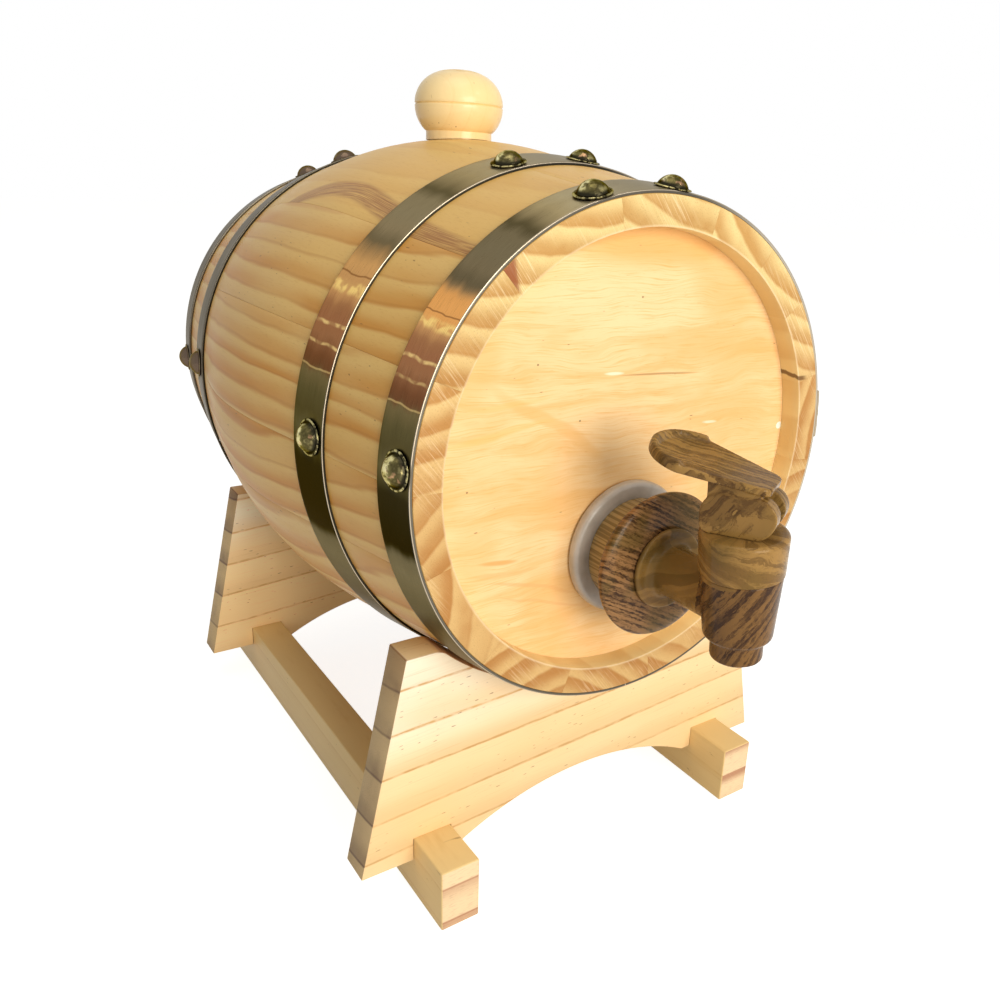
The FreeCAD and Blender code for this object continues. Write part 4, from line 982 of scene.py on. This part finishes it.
def strip(low, high, lift, nails, row, start=0.0, sweep=360.0, around=720):
    """Strip section carried round the cask on its own slope, its face sunk 0.3 mm in a ring at each nail."""
    e = HOOP_EDGE
    inner = np.linspace(low + 1, high - 1, 17)
    across = np.array([low, low + e * 0.3, low + e, *inner, high - e, high - e * 0.3, high])
    top = np.concatenate([[e, 0.06], np.zeros(19), [0.06, e]])
    y = np.concatenate([across, across[::-1]])
    out = np.concatenate([HOOP_T - top, 0 * top])
    closed = sweep >= 360
    turn = start + np.linspace(0, sweep, around, endpoint=not closed)[:, None]
    beside = (turn[..., None] - np.asarray(nails) + 180) % 360 - 180
    off = np.hypot(np.radians(beside) * HEAD_R * 1.08, (y - row)[None, :, None])
    sunk = 0.30 * np.clip(1 - np.abs(off - 6.4) / 1.7, 0, 1).max(-1) * (out > 0.5)
    points = round_cask(cask_radius(y) + HOOP_GAP + lift + out - sunk, np.radians(turn), y)
    return points, grid_quads(around, len(y), True, True) if closed else tube_quads(around, len(y))


def hoop_grain(low, high):
    """Degrees from the top, mm along the cask, and at the sheared edges the share of the way out."""

    def place(at):
        angle, y, radius = about_cask(at)
        out = np.clip((radius - cask_radius(y) - HOOP_GAP) / HOOP_T, 0, 1)
        return np.stack([np.degrees(angle), y, (np.minimum(y - low, high - y) < 0.12) * (0.2 + 0.8 * out)], -1)

    return place


for name, (low, high, row, nails) in HOOPS.items():
    lapped = [LAP[0] < angle < LAP[1] for angle in nails]
    ring = strip(low, high, 0.0, [a for a, over in zip(nails, lapped) if not over], row)
    over = [a for a, over in zip(nails, lapped) if over]
    lap = strip(low, high, HOOP_T, over, row, LAP[0], LAP[1] - LAP[0], 25)
    mesh = solid_mesh(name, *several(ring, lap))
    place = (float("head" in name), float("rear" in name), 0.0)
    piece("steel_" + name, mesh, "cask", hoop_finish, name, hoop_grain(low, high), place, 60)


# %% Nails
def nail_mesh():
    """Dome r = 5.3 mm, 3.6 mm high, flaring to a 6.4 mm brim with a rounded lip, and a pointed shank."""
    rise, head, brim = 3.6, 5.3, 6.4
    ball = (head**2 + rise**2) / (2 * rise)
    slope = np.linspace(0, math.asin(head / ball) * 0.985, 12)
    dome = np.stack([ball * np.sin(slope), 0.5 + rise - ball + ball * np.cos(slope)], -1)
    lip = [(5.45, 0.62), (5.75, 0.50), (6.1, 0.50), (6.3, 0.40), (brim, 0.22), (6.3, 0.03), (6.1, 0.0)]
    return turned([*dome, *lip, (1.0, 0.0), (1.0, -5.1), (0.0, -7.1)], 40)


def on_hoop(y, angle_deg, lift):
    """Turn that stands +Z on the cask's slope at this place, and the place itself."""
    angle, lean = math.radians(angle_deg), math.atan(SLOPE) * (1 if y > 0 else -1)
    normal = np.array([math.sin(angle) * math.cos(lean), math.sin(lean), math.cos(angle) * math.cos(lean)])
    side = np.array([math.cos(angle), 0.0, -math.sin(angle)])
    return np.stack([side, np.cross(normal, side), normal]), round_cask(cask_radius(y) + lift, angle, y)


def from_axis(row, angles, at):
    """Of each point: mm from the nearest nail's axis, mm along the cask from it, and 1 at the rear."""
    best = np.full((len(at), 3), np.inf)
    for turn in angles:
        axes, place = on_hoop(row, turn, 0.0)
        local = (at - place) @ axes.T
        off = [np.hypot(local[:, 0], local[:, 1]), at[:, 1] - place[1], np.full(len(at), float(row > 0))]
        off = np.stack(off, -1)
        best = np.where(off[:, :1] < best[:, :1], off, best)
    return best


nail_points, nail_faces = nail_mesh()
for name, (_, _, row, nails) in HOOPS.items():
    parts = []
    for turn in nails:
        axes, place = on_hoop(row, turn, HOOP_GAP + HOOP_T * (2 if LAP[0] < turn < LAP[1] else 1))
        parts.append((nail_points.reshape(-1, 3) @ axes + place, nail_faces))
    name += "_nails"
    mesh = solid_mesh(name, *several(*parts))
    off = from_axis(row, nails, points_of(mesh))
    piece("brass_" + name, mesh, "cask", nail_finish, name, lambda at: at, off, 50)
print("nails:", len(HOOPS) * len(nails))

# %% [markdown]
# ## Bung
#
# The bung is turned from one blank: a tapered plug, a short foot, then a full knob with one
# thin line cut round it and a flattened crown. Its foot is hollowed to lie on the staves.


# %% Bung
def bung_profile():
    """Outline from the plug's end up to the crown, in (radius, height over the stave)."""
    plug = [(0, -15), (11.3, -15), (11.46, -14.7), (12.2, -0.9), (12.25, 0.5)]
    foot = [(13.2, 0.5), (13.55, 0.75), (13.6, 1.2), (13.55, 2.9)]
    t, s = np.linspace(0, 1, 14)[1:-1], np.linspace(0, np.pi / 2, 22)[1:]
    belly = np.stack([13.55 + 4.55 * np.sin(t * np.pi / 2) ** 0.85, 2.9 + 9.5 * t**1.15], -1)
    line = [(18.15, 12.4), (18.1, 12.6), (17.6, 13.0), (18.1, 13.4), (18.15, 13.6)]
    crown = np.stack([18.15 * np.cos(s) ** 0.78, 13.6 + 12.9 * np.sin(s) ** 1.06], -1)
    return np.concatenate([plug, foot, belly, line, crown])


def bung_grain(at):
    """A blank cut with its fibres aslant."""
    x, y, z = at.T
    return np.stack([x - 22.0, z * 0.6 + y * 0.8, y * 0.6 - z * 0.3 + 60.0], -1)


mesh = solid_mesh("bung", *turned(bung_profile(), 96, (0, MID_Y + BUNG_BACK, bung_seat + AXIS_Z)))
at = points_of(mesh)
x, y, low = (at - (0, MID_Y, bung_seat + AXIS_Z)).T
skin = np.sqrt(np.maximum((cask_radius(y) + 0.3) ** 2 - x**2, 0)) + AXIS_Z
foot = (low > 0.2) & (low < 1.3) & (np.hypot(x, y - BUNG_BACK) > 12.5)
at[foot, 2] = np.maximum(at[foot, 2] - 1.6, skin[foot])
mesh.vertices.foreach_set("co", (at * MM).astype(np.float32).ravel())
cut_faces(mesh, (0, 0, 1), 0.93)
piece("wood_bung", mesh, "bung", bung_finish, "bung", bung_grain, (0.05, 3.0, NO_STREAK))
print("bung stands", round(at[:, 2].max() - bung_seat - AXIS_Z, 1), "mm over the stave")

# %% [markdown]
# ## Stand
#
# Two boards with a round cradle cut above and a low arch below stand on two rails. A board is
# its outline carried through its thickness, and a small bevel eases its edges, as a sanding
# block would. The rails are let into notches under the boards.

# %% Boards
BOARD_T, INSET, SHOULDER_X, SHOULDER_Z, FOOT_X, FOOT_Z = 14.0, 23.5, 79.7, 101.9, 98.8, 16.0
CRADLE_GAP, CRADLE_LIP, ARCH_HALF, ARCH_RISE = 0.3, 8.0, 57.3, 14.2
RAIL_IN, RAIL_W, RAIL_H, RAIL_L, SIDE_GAP = 62.2, 15.5, 25.7, 251.0, 0.1


def board_outline():
    """Right half from the cradle's lowest point round to the arch's top, then mirrored."""
    cut = float(cask_radius(HALF - INSET - BOARD_T)) + CRADLE_GAP
    lip_z = SHOULDER_Z - AXIS_Z - CRADLE_LIP
    lip_x = math.sqrt((cut + CRADLE_LIP) ** 2 - lip_z**2)
    a, b = np.linspace(0.0, math.atan2(lip_x, -lip_z), 40), np.linspace(math.atan2(lip_x, -lip_z), 0.0, 10)[1:]
    cradle = np.stack([cut * np.sin(a), -cut * np.cos(a)], -1) + (0, AXIS_Z)
    easing = np.stack([lip_x - CRADLE_LIP * np.sin(b), lip_z + CRADLE_LIP * np.cos(b)], -1) + (0, AXIS_Z)
    notch_in, notch_out = RAIL_IN - SIDE_GAP, RAIL_IN + RAIL_W + SIDE_GAP
    sides = [(SHOULDER_X, SHOULDER_Z), (FOOT_X, FOOT_Z), (notch_out, FOOT_Z), (notch_out, RAIL_H),
             (notch_in, RAIL_H), (notch_in, FOOT_Z)]
    big = (ARCH_HALF**2 + ARCH_RISE**2) / (2 * ARCH_RISE)
    c = np.linspace(math.asin(ARCH_HALF / big), 0.0, 24)
    arch = np.stack([big * np.sin(c), FOOT_Z + ARCH_RISE - big + big * np.cos(c)], -1)
    half = np.concatenate([cradle, easing, sides, arch])
    return np.concatenate([half, half[-2:0:-1] * (-1, 1)])


def board_grain(slant, pith_z):
    """Plank along x, cut well below its pith, so the rings cross its face as lines that rise a little."""

    def place(at):
        x, y, z = at.T
        return np.stack([pith_z - z + x * slant, x, (y - y.min()) * 0.9 - 20.0], -1)

    return place


in_half = HALF - INSET
# The last number of each board lifts its colour as painted light; the rear board, in the cask's shadow, gets
# it.
for name, front, slant, pith_z, seed, tone in (
    ("front_board", MID_Y - in_half, 0.055, 159.0, 4.0, 0.0),
    ("rear_board", MID_Y + in_half - BOARD_T, 0.07, 166.0, 7.3, 0.30),
):
    bevel = {"width": 0.55 * MM, "segments": 2, "limit_method": "ANGLE", "angle_limit": math.radians(28)}
    mesh = solid_mesh("board", *prism(board_outline(), front, front + BOARD_T, 1))
    mesh = applied(mesh, ("BEVEL", bevel))
    cut_faces(mesh, (1, 0, 0), 0.8)
    grain, tint = board_grain(slant, pith_z), (tone, seed, NO_STREAK)
    piece("wood_" + name, mesh, "stand", board_finish, name, grain, tint, 40)


# %% Rails
def rail_grain(at):
    """Bar along y, cut beside its pith."""
    return np.stack([at[:, 2] + 28.7, at[:, 1], np.abs(at[:, 0]) * 0.1 - 6.0], -1)


for name, sign in (("left_rail", -1), ("right_rail", 1)):
    corners = np.array([(-1, -1), (1, -1), (1, 1), (-1, 1)]) * (RAIL_W / 2, RAIL_H / 2)
    corners += (sign * (RAIL_IN + RAIL_W / 2), RAIL_H / 2)
    bar = solid_mesh("rail", *prism(corners, MID_Y - RAIL_L / 2, MID_Y + RAIL_L / 2, 1))
    mesh = applied(bar, ("BEVEL", {"width": 0.7 * MM, "segments": 3}))
    cut_faces(mesh, (0, 1, 0), 0.8)
    tint = (0.0, 5.0 + sign, NO_STREAK)
    piece("wood_" + name, mesh, "stand", rail_finish, name, rail_grain, tint, 40)
print("board foot", FOOT_Z, "mm over the table, on rails", RAIL_H, "mm high")

# %% [markdown]
# ## Tap: rings on the shank
#
# Between the head and the tap's bell lie a soft grey washer, a plain collar and a thick domed
# disc. All three are lathe work on the shank's axis. Their profiles are written from the head
# outwards, and every corner has its own radius.

# %% Washer, collar and disc
WASHER_R, COLLAR_R, DISC_R, DISC_FACE_R, DISC_HEEL_R = 25.0, 19.2, 26.3, 16.4, 4.6
WASHER_T, COLLAR_L, DISC_L, GAP = 5.0, 12.0, 7.0, 0.05
COLLAR_END = WASHER_T + COLLAR_L
BELL_AT = COLLAR_END + DISC_L
shank_axis = (0, FACE_Y, SHANK_Z)


def bush(radius, low, high, corner, steps):
    """A plain ring round the shank, both outer corners rounded."""
    corners = [(SHANK_R, low), (radius, low), (radius, high), (SHANK_R, high)]
    return rounded(corners, [0, corner, corner, 0], steps)


def disc_profile():
    """Widely rounded back rim, then a low front that bulges as a power curve in to the bell."""
    back, heel = COLLAR_END + GAP, DISC_HEEL_R
    a, t = np.linspace(0, np.pi / 2, 12)[1:, None], np.linspace(0, np.pi / 2, 22)[1:]
    rear = (DISC_R - heel, back + heel) + heel * np.concatenate([np.sin(a), -np.cos(a)], 1)
    low, bulge = DISC_FACE_R, (DISC_R - DISC_FACE_R) * np.cos(t) ** 0.92
    front = np.stack([low + bulge, back + heel + (DISC_L - heel - 2 * GAP) * np.sin(t) ** 0.95], -1)
    inner = [(SHANK_R, back), (DISC_R - heel, back)]
    return np.concatenate([inner, rear, front, [(SHANK_R, back + DISC_L - 2 * GAP)]])


def on_shank(at):
    """Place round the shank: x and z across it, y along it."""
    return at - shank_axis


def round_shank(at):
    """The same, but with the angle round the shank in place of the height."""
    x, y, z = on_shank(at).T
    return np.stack([x, y, np.degrees(np.arctan2(x, z)) * 0.33], -1)


washer = bush(WASHER_R, GAP, WASHER_T, 2.0, 8)
collar = bush(COLLAR_R, WASHER_T + GAP, COLLAR_END, 0.25, 3)
for name, profile, finish, slot, node, grain in (
    ("washer", washer, washer_finish, "washer_rubber", "outer_washer", on_shank),
    ("collar", collar, collar_film, "tap_plastic", "tap_collar", round_shank),
    ("disc", disc_profile(), disc_film, "tap_plastic", "tap_rosette", on_shank),
):
    mesh = solid_mesh(name, *turned(profile, 128, shank_axis, "-y"))
    piece("ring_" + name, mesh, "cask", finish, node, grain)
print("bell starts", BELL_AT, "mm from the head")

# %% [markdown]
# ## Tap: body, cap and nozzle
#
# The body is one moulding: a bell that presses on the disc, a round neck, and an upright
# barrel with the nozzle below. The pieces are turned apart, then melted together on a fine
# grid of cubes (a voxel remesh) and relaxed, which leaves the soft fillets of a moulding.

# %% Moulded body
WATERWAY_R, NECK_R, BELL_R, BELL_L, BELL_WAIST_R, BARREL_REACH = 5.0, 8.8, 14.6, 2.6, 11.2, 13.7
BARREL = [(6.2, -17.6), (8.6, -17.6), (8.6, -10.6), (9.7, -10.6), (11.3, -9.0), (13.15, 12.8),
          (11.65, 12.8), (11.65, 23.3), (9.4, 23.3), (9.4, -6.6), (6.2, -6.6)]
BARREL_CORNERS = [0.5, 0.7, 0.3, 0.4, 0.5, 0.2, 0.2, 0.3, 0.3, 0.2, 0.2]
CAP = [(3.08, CAP_RISE), (14.1, CAP_RISE), (13.45, 12.8), (11.75, 12.8), (11.75, 23.4), (3.08, 23.4)]
CAP_CORNERS = [0.2, 1.6, 0.35, 0.1, 0.1, 0.1]
upright_axis = (0, TAP_Y, SHANK_Z)


def tap_body_mesh():
    """Union of a bell and neck along the shank and a hollow barrel, remeshed at 0.42 mm."""
    t = np.linspace(0, np.pi / 2, 8)[1:]
    waist = (BELL_WAIST_R, BELL_AT + 1.8)
    flare = np.stack([BELL_WAIST_R - 2.4 * np.sin(t), waist[1] + 3.4 * (1 - np.cos(t)) ** 0.9], -1)
    bell_rim = [(WATERWAY_R, BELL_AT), (BELL_R, BELL_AT), (BELL_R, BELL_AT + BELL_L), waist]
    neck_end = FACE_Y - TAP_Y - WATERWAY_R
    neck = [*rounded(bell_rim, [0, 1.1, 0.9, 0], 6), *flare, (NECK_R, neck_end), (WATERWAY_R, neck_end)]
    shank = [(WATERWAY_R, -25.0), (8.4, -25.0), (8.4, BELL_AT + 0.8), (WATERWAY_R, BELL_AT + 0.8)]
    points, faces = turned(rounded(BARREL, BARREL_CORNERS, 4), 96, upright_axis)
    bell, shank = turned(neck, 96, shank_axis, "-y"), turned(shank, 64, shank_axis, "-y")
    return melted(solid_mesh("tap", *several(bell, shank, (leaned(points), faces))), 0.42, 6)


def barrel_grain(at):
    """Unrolled round the barrel (x is arc length), y along the shank, z up from it."""
    x, y, z = (leaned(at, back=True) - upright_axis).T
    return np.stack([np.arctan2(x, -y) * 12.0, y * 0.15, z], -1)


mesh = tap_body_mesh()
print("tap body:", len(mesh.polygons), "faces")
piece("moulded_tap_body", mesh, "cask", barrel_film, "tap_body", barrel_grain, crease=60)
mesh.materials.append(bell_film)
x, y, z = (vectors(mesh.polygons, "center") / MM).T
mesh.polygons.foreach_set("material_index", (np.hypot(x, y - TAP_Y) > BARREL_REACH).astype(np.int32))

points, faces = turned(rounded(CAP, CAP_CORNERS, 7), 128, upright_axis)
mesh = solid_mesh("cap", leaned(points), faces)
piece("moulded_cap", mesh, "cask", cap_film, "bonnet_cap", barrel_grain)

# %% [markdown]
# ## Lever
#
# The lever is a fork of two cam cheeks on a pin, a neck block, and a thumb paddle with a
# raised rim round its dished end. The cheek's nose is an involute, so the stem rises by the
# same step for each degree of swing. The parts are carried outlines, melted together like
# the tap's body, so that every edge is soft.

# %% Lever outlines
LIFT = 6.0
NOSE_REACH = 3.9
K = LIFT / LEVER_SWING


def cam_nose(turn):
    """Contact of nose and cap at each turn: reach h = 3.9 + K turn along the normal, K across it."""
    reach = NOSE_REACH + K * turn
    return np.stack([-reach * np.sin(turn) - K * np.cos(turn), -reach * np.cos(turn) + K * np.sin(turn)], -1)


def arc(centre, radius, start, end):
    """Circle arc by start and end angle."""
    a = np.linspace(start, end, 8)
    return np.asarray(centre) + radius * np.stack([np.cos(a), np.sin(a)], -1)


def cheek_outline():
    """Closed side view (u, height) about the pin."""
    brow_r, back_at, heel_r = 6.0, 12.4, 3.0
    nose = cam_nose(np.linspace(0, LEVER_SWING, 14))
    brow = nose[-1] + brow_r * np.array([math.sin(LEVER_SWING), math.cos(LEVER_SWING)])
    back_r = brow[1] + brow_r - 2.5
    from_brow = nose[-1] - brow
    crown = arc(brow, brow_r, math.atan2(from_brow[1], from_brow[0]) % (2 * math.pi), math.pi / 2)[1:]
    back = arc((back_at - back_r, 2.5), back_r, math.pi / 2, 0)
    heel = arc((back_at - heel_r, -0.9), heel_r, 0, -math.pi / 2)
    return np.concatenate([nose, crown, back, heel])


def paddle_surface():
    """Top and under side on one grid: half width w(u), height by rim, dish and edge rounding."""
    neck_u, end_u, end_r, neck_half = -5.2, 17.6, 13.95, 7.7
    u = [-9.2, -8.9, -8.2, -7.0, *np.linspace(neck_u, 28.0, 48), 29.2, 30.2, 30.9, 31.3, 31.55]
    u = np.array(u)
    nose = np.sqrt(np.clip(1 - ((neck_u - u) / 4.25) ** 2, 0, 1)) * 3.9 + 3.8
    straight = neck_half + (u - neck_u) * (13.9 - neck_half) / 23.2
    end = np.sqrt(np.clip(end_r**2 - (np.maximum(u, end_u) - end_u) ** 2, 0, None))
    width = np.where(u < neck_u, nose, np.where(u < 17.9, straight, end))[:, None]
    t = width * np.sin(np.linspace(-np.pi / 2, np.pi / 2, 41))
    uu = u[:, None] + 0 * t
    margin = np.where(uu > end_u, end_r - np.hypot(t, uu - end_u), width - np.abs(t))
    rim = np.clip(np.minimum(margin / 0.3, (2.6 - margin) / 0.5), 0, 1) * np.clip((uu - 17.2) / 0.6, 0, 1)
    dish = np.clip(1 - np.hypot(t / 11.0, (uu - 20.5) / 10.0) ** 2, 0, 1)
    top = 1.3 * rim - 0.95 * dish - 0.35 * np.clip(1 - margin / 0.6, 0, 1) ** 2
    under = -2.8 + 0.6 * np.clip(1 - margin / 1.2, 0, 1) ** 2
    rows, cols = t.shape
    order = np.arange(rows * cols).reshape(rows, cols)
    loop = np.concatenate([order[0], order[1:, -1], order[-1, -2::-1], order[-2:0:-1, 0]])
    after = np.roll(loop, -1)
    wall = np.stack([loop, after, after + rows * cols, loop + rows * cols], -1).tolist()
    points = np.stack([np.stack([t, uu, side], -1) for side in (top, under)]).reshape(-1, 3)
    c, s = math.cos(LEVER_TILT), math.sin(LEVER_TILT)
    tilted = points @ np.array([[1, 0, 0], [0, c, s], [0, -s, c]]) + (0, 0, 14.5)
    return tilted, grid_quads(rows, cols) + grid_quads(rows, cols, first=rows * cols) + wall


# %% Melt the lever together
pin_at = (0, TAP_Y, SHANK_Z + PIN_RISE)
yaw_cos, yaw_sin = math.cos(LEVER_YAW), math.sin(LEVER_YAW)
lever_turn = np.array([[yaw_cos, yaw_sin, 0], [-yaw_sin, yaw_cos, 0], [0, 0, 1]])


def lever_grain(at):
    """The lever's own axes: across, towards the thumb, up from the pin."""
    return (leaned(at, back=True) - pin_at) @ lever_turn.T


def lever_mesh():
    """Two cheeks, a bridge over the slot, a roof, the neck block and the paddle, remeshed at 0.3 mm."""
    cheek_in, cheek_out, bridge_half, block_half, roof_z = 2.6, 7.5, 3.2, 6.9, 7.3
    cheek, rise = cheek_outline(), math.tan(LEVER_TILT)
    bridge = [(3.9, -3.2), (11.6, -3.2), (11.6, 8.0), (3.9, 8.0)]
    roof = [(-5.6, roof_z), (9.0, roof_z), (9.0, 9.0), (-5.6, 9.0)]
    block = [(-6.0, roof_z), (10.4, roof_z), (10.4, 13.0 + 10.4 * rise), (-6.0, 13.0 - 6.0 * rise)]
    parts = [
        prism(cheek, -cheek_out, -cheek_in, 0), prism(cheek, cheek_in, cheek_out, 0),
        prism(bridge, -bridge_half, bridge_half, 0), prism(roof, -bridge_half, bridge_half, 0),
        prism(block, -block_half, block_half, 0), paddle_surface(),
    ]
    work = bmesh.new()
    for points, faces in parts:
        work.from_mesh(solid_mesh("part", leaned(points @ lever_turn + pin_at), faces))
    whole = bpy.data.meshes.new("lever")
    work.to_mesh(whole)
    work.free()
    return melted(whole, 0.3, 12)


mesh = lever_mesh()
print("lever:", len(mesh.polygons), "faces")
piece("moulded_lever", mesh, "lever", lever_film, "tap_lever", lever_grain, crease=80)

# %% [markdown]
# ## Stem spring
#
# A coil spring presses the plug down from the cap's roof. The working model holds it at its
# resting length, and a stiff copy would be run through by the plug as the lever lifts it. Here
# the coil is made as a wire carried along a helix, on a mesh of its own, and rides on the swivel
# body.

# %% Spring
WIRE_R, COIL_R, TURNS = 0.5, 5.4, 5
SPRING_LOW, SPRING_HIGH = 8.85, 23.25


def coil_surface(per_turn=40, around=12):
    """Helix (R cos a, R sin a, low + pitch a / 2 pi) with a circle of wire square to its tangent."""
    low, high = SPRING_LOW + WIRE_R, SPRING_HIGH - WIRE_R
    a = np.linspace(0, 2 * np.pi * TURNS, per_turn * TURNS + 1)[:, None]
    rise = (high - low) / (2 * np.pi * TURNS)
    out = np.stack([np.cos(a), np.sin(a), 0 * a], -1)
    tangent = np.stack([-COIL_R * np.sin(a), COIL_R * np.cos(a), rise + 0 * a], -1)
    tangent /= np.linalg.norm(tangent, axis=-1, keepdims=True)
    b = np.linspace(0, 2 * np.pi, around, endpoint=False)[None, :, None]
    centre = COIL_R * out + np.stack([0 * a, 0 * a, low + rise * a], -1)
    points = centre + WIRE_R * (out * np.cos(b) + np.cross(tangent, out) * np.sin(b))
    return leaned(points + upright_axis), tube_quads(len(a), around)


mesh = solid_mesh("spring", *coil_surface())
spring = piece("wire_spring", mesh, "swivel", wire_finish, "stem_spring", lambda at: at)
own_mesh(spring)

# %% [markdown]
# ## Pieces kept as they are
#
# The stem, pin, plug, inner ring, nut and screws already have their right shapes in the
# working model, and are mostly out of sight, so they only get their finish.

# %% Finishes for the kept pieces
kept = {
    "valve_stem": wire_finish, "lever_pin": wire_finish, "valve_plug": plug_finish,
    "inner_washer": plug_finish, "back_nut": nut_finish, "stand_screws": screw_finish,
}
for name, finish in kept.items():
    mesh = frame["nodes"][name].data
    mesh.materials.clear()
    mesh.materials.append(finish)

# %% [markdown]
# ## Studio
#
# The cask stands on a plain white floor under a white sky. One large soft lamp in front, a
# little to the left, lights the head and the boards. A weaker one above and a small one to
# the right add sparks, and the sky fills the sides. The floor and the sky show as white to
# the camera and in reflections, and the floor keeps a shadow.


# %% Floor, light and sky
def shows_itself(graph):
    """1 for rays from the camera, from a mirror and through glass, and 0 for rays that carry light."""
    rays = ("Is Camera Ray", "Is Glossy Ray", "Is Transmission Ray")
    seen, mirrored, through = (graph.node("ShaderNodeLightPath", out=ray) for ray in rays)
    return graph.maths("MAXIMUM", through, graph.maths("MAXIMUM", mirrored, seen))


def floor(size, glow):
    """Wide plain sheet a hair below the rails; to the eye it glows a little, so only the shadow stays grey."""
    corners = np.array([(-1, -1, 0), (1, -1, 0), (1, 1, 0), (-1, 1, 0)]) * size - (0, 0, 0.02)
    mesh = solid_mesh("floor", corners, [[0, 1, 2, 3]])
    f = Finish("floor_white", (0.68, 0.68, 0.68))
    f.lay((0.70, 0.70, 0.70), f.noise(f.place()[0], 0.003))
    material = f.surface(
        Roughness=0.9, Specular_IOR_Level=0.0,
        Emission_Color=(1, 1, 1, 1), Emission_Strength=shows_itself(f) * glow,
    )
    material.cycles.emission_sampling = "NONE"
    mesh.materials.append(material)
    linked("floor", mesh)


def lamp(name, place, aim, size, power):
    """Square area lamp at a place, in mm, turned to a point."""
    data = bpy.data.lights.new(name, "AREA")
    data.shape, data.size, data.energy, data.color = "SQUARE", size * MM, power, (1.0, 0.94, 0.84)
    thing = linked(name, data)
    thing.location = Vector(place) * MM
    thing.rotation_euler = (Vector(aim) - Vector(place)).to_track_quat("-Z", "Y").to_euler()


def sky(strength, tint):
    """Soft sky light of a given strength and tint, which shows as pure white."""
    world = bpy.data.worlds.new("white_sky")
    bpy.context.scene.world = world
    world.use_nodes = True
    g = Graph(world.node_tree)
    light = g.node("ShaderNodeBackground", {}, {"Color": (*tint, 1), "Strength": strength})
    shown = g.node("ShaderNodeBackground", {}, {"Color": (1, 1, 1, 1), "Strength": 1.0})
    blend = g.node("ShaderNodeMixShader", {}, [shows_itself(g), light, shown])
    g.node("ShaderNodeOutputWorld", {}, {"Surface": blend})


floor(6000.0, 0.79)
lamp("front_softbox", (-50, -1550, 520), (0, 0, 150), 900, 21.0)
lamp("top_softbox", (-150, -150, 1500), (0, 0, 200), 900, 4.2)
lamp("spark_lamp", (560, -950, 1150), (0, -80, 180), 70, 0.8)
sky(0.32, (1.0, 0.975, 0.93))

# %% [markdown]
# ## Camera
#
# The camera looks at the cask from the front left and from a little above, close enough for
# the near chime to loom. Its frame is shifted a little, because the cask stands off centre.


# %% Camera
def make_camera(place, yaw, pitch, roll):
    """Camera by place, in mm, yaw, pitch and roll: rows of its turn are right, up and back."""
    forward = np.array([math.sin(yaw) * math.cos(pitch), math.cos(yaw) * math.cos(pitch), -math.sin(pitch)])
    right = np.array([math.cos(yaw), -math.sin(yaw), 0.0])
    up = np.cross(right, forward)
    right, up = right * math.cos(roll) + up * math.sin(roll), up * math.cos(roll) - right * math.sin(roll)
    data = bpy.data.cameras.new("camera")
    data.sensor_width, data.lens = 36.0, 32.343
    data.shift_x, data.shift_y = -0.0681, 0.0102
    data.clip_start, data.clip_end = 0.01, 50.0
    camera = linked("camera", data)
    turn = Matrix([[*v] for v in np.stack([right, up, -forward], 1)]).to_4x4()
    turn.translation = Vector(place) * MM
    camera.matrix_world = turn
    bpy.context.scene.camera = camera


make_camera((-197.3, -319.795, 258.99), 0.634, 0.352, 0.052)
bpy.context.scene.view_settings.view_transform = "Standard"
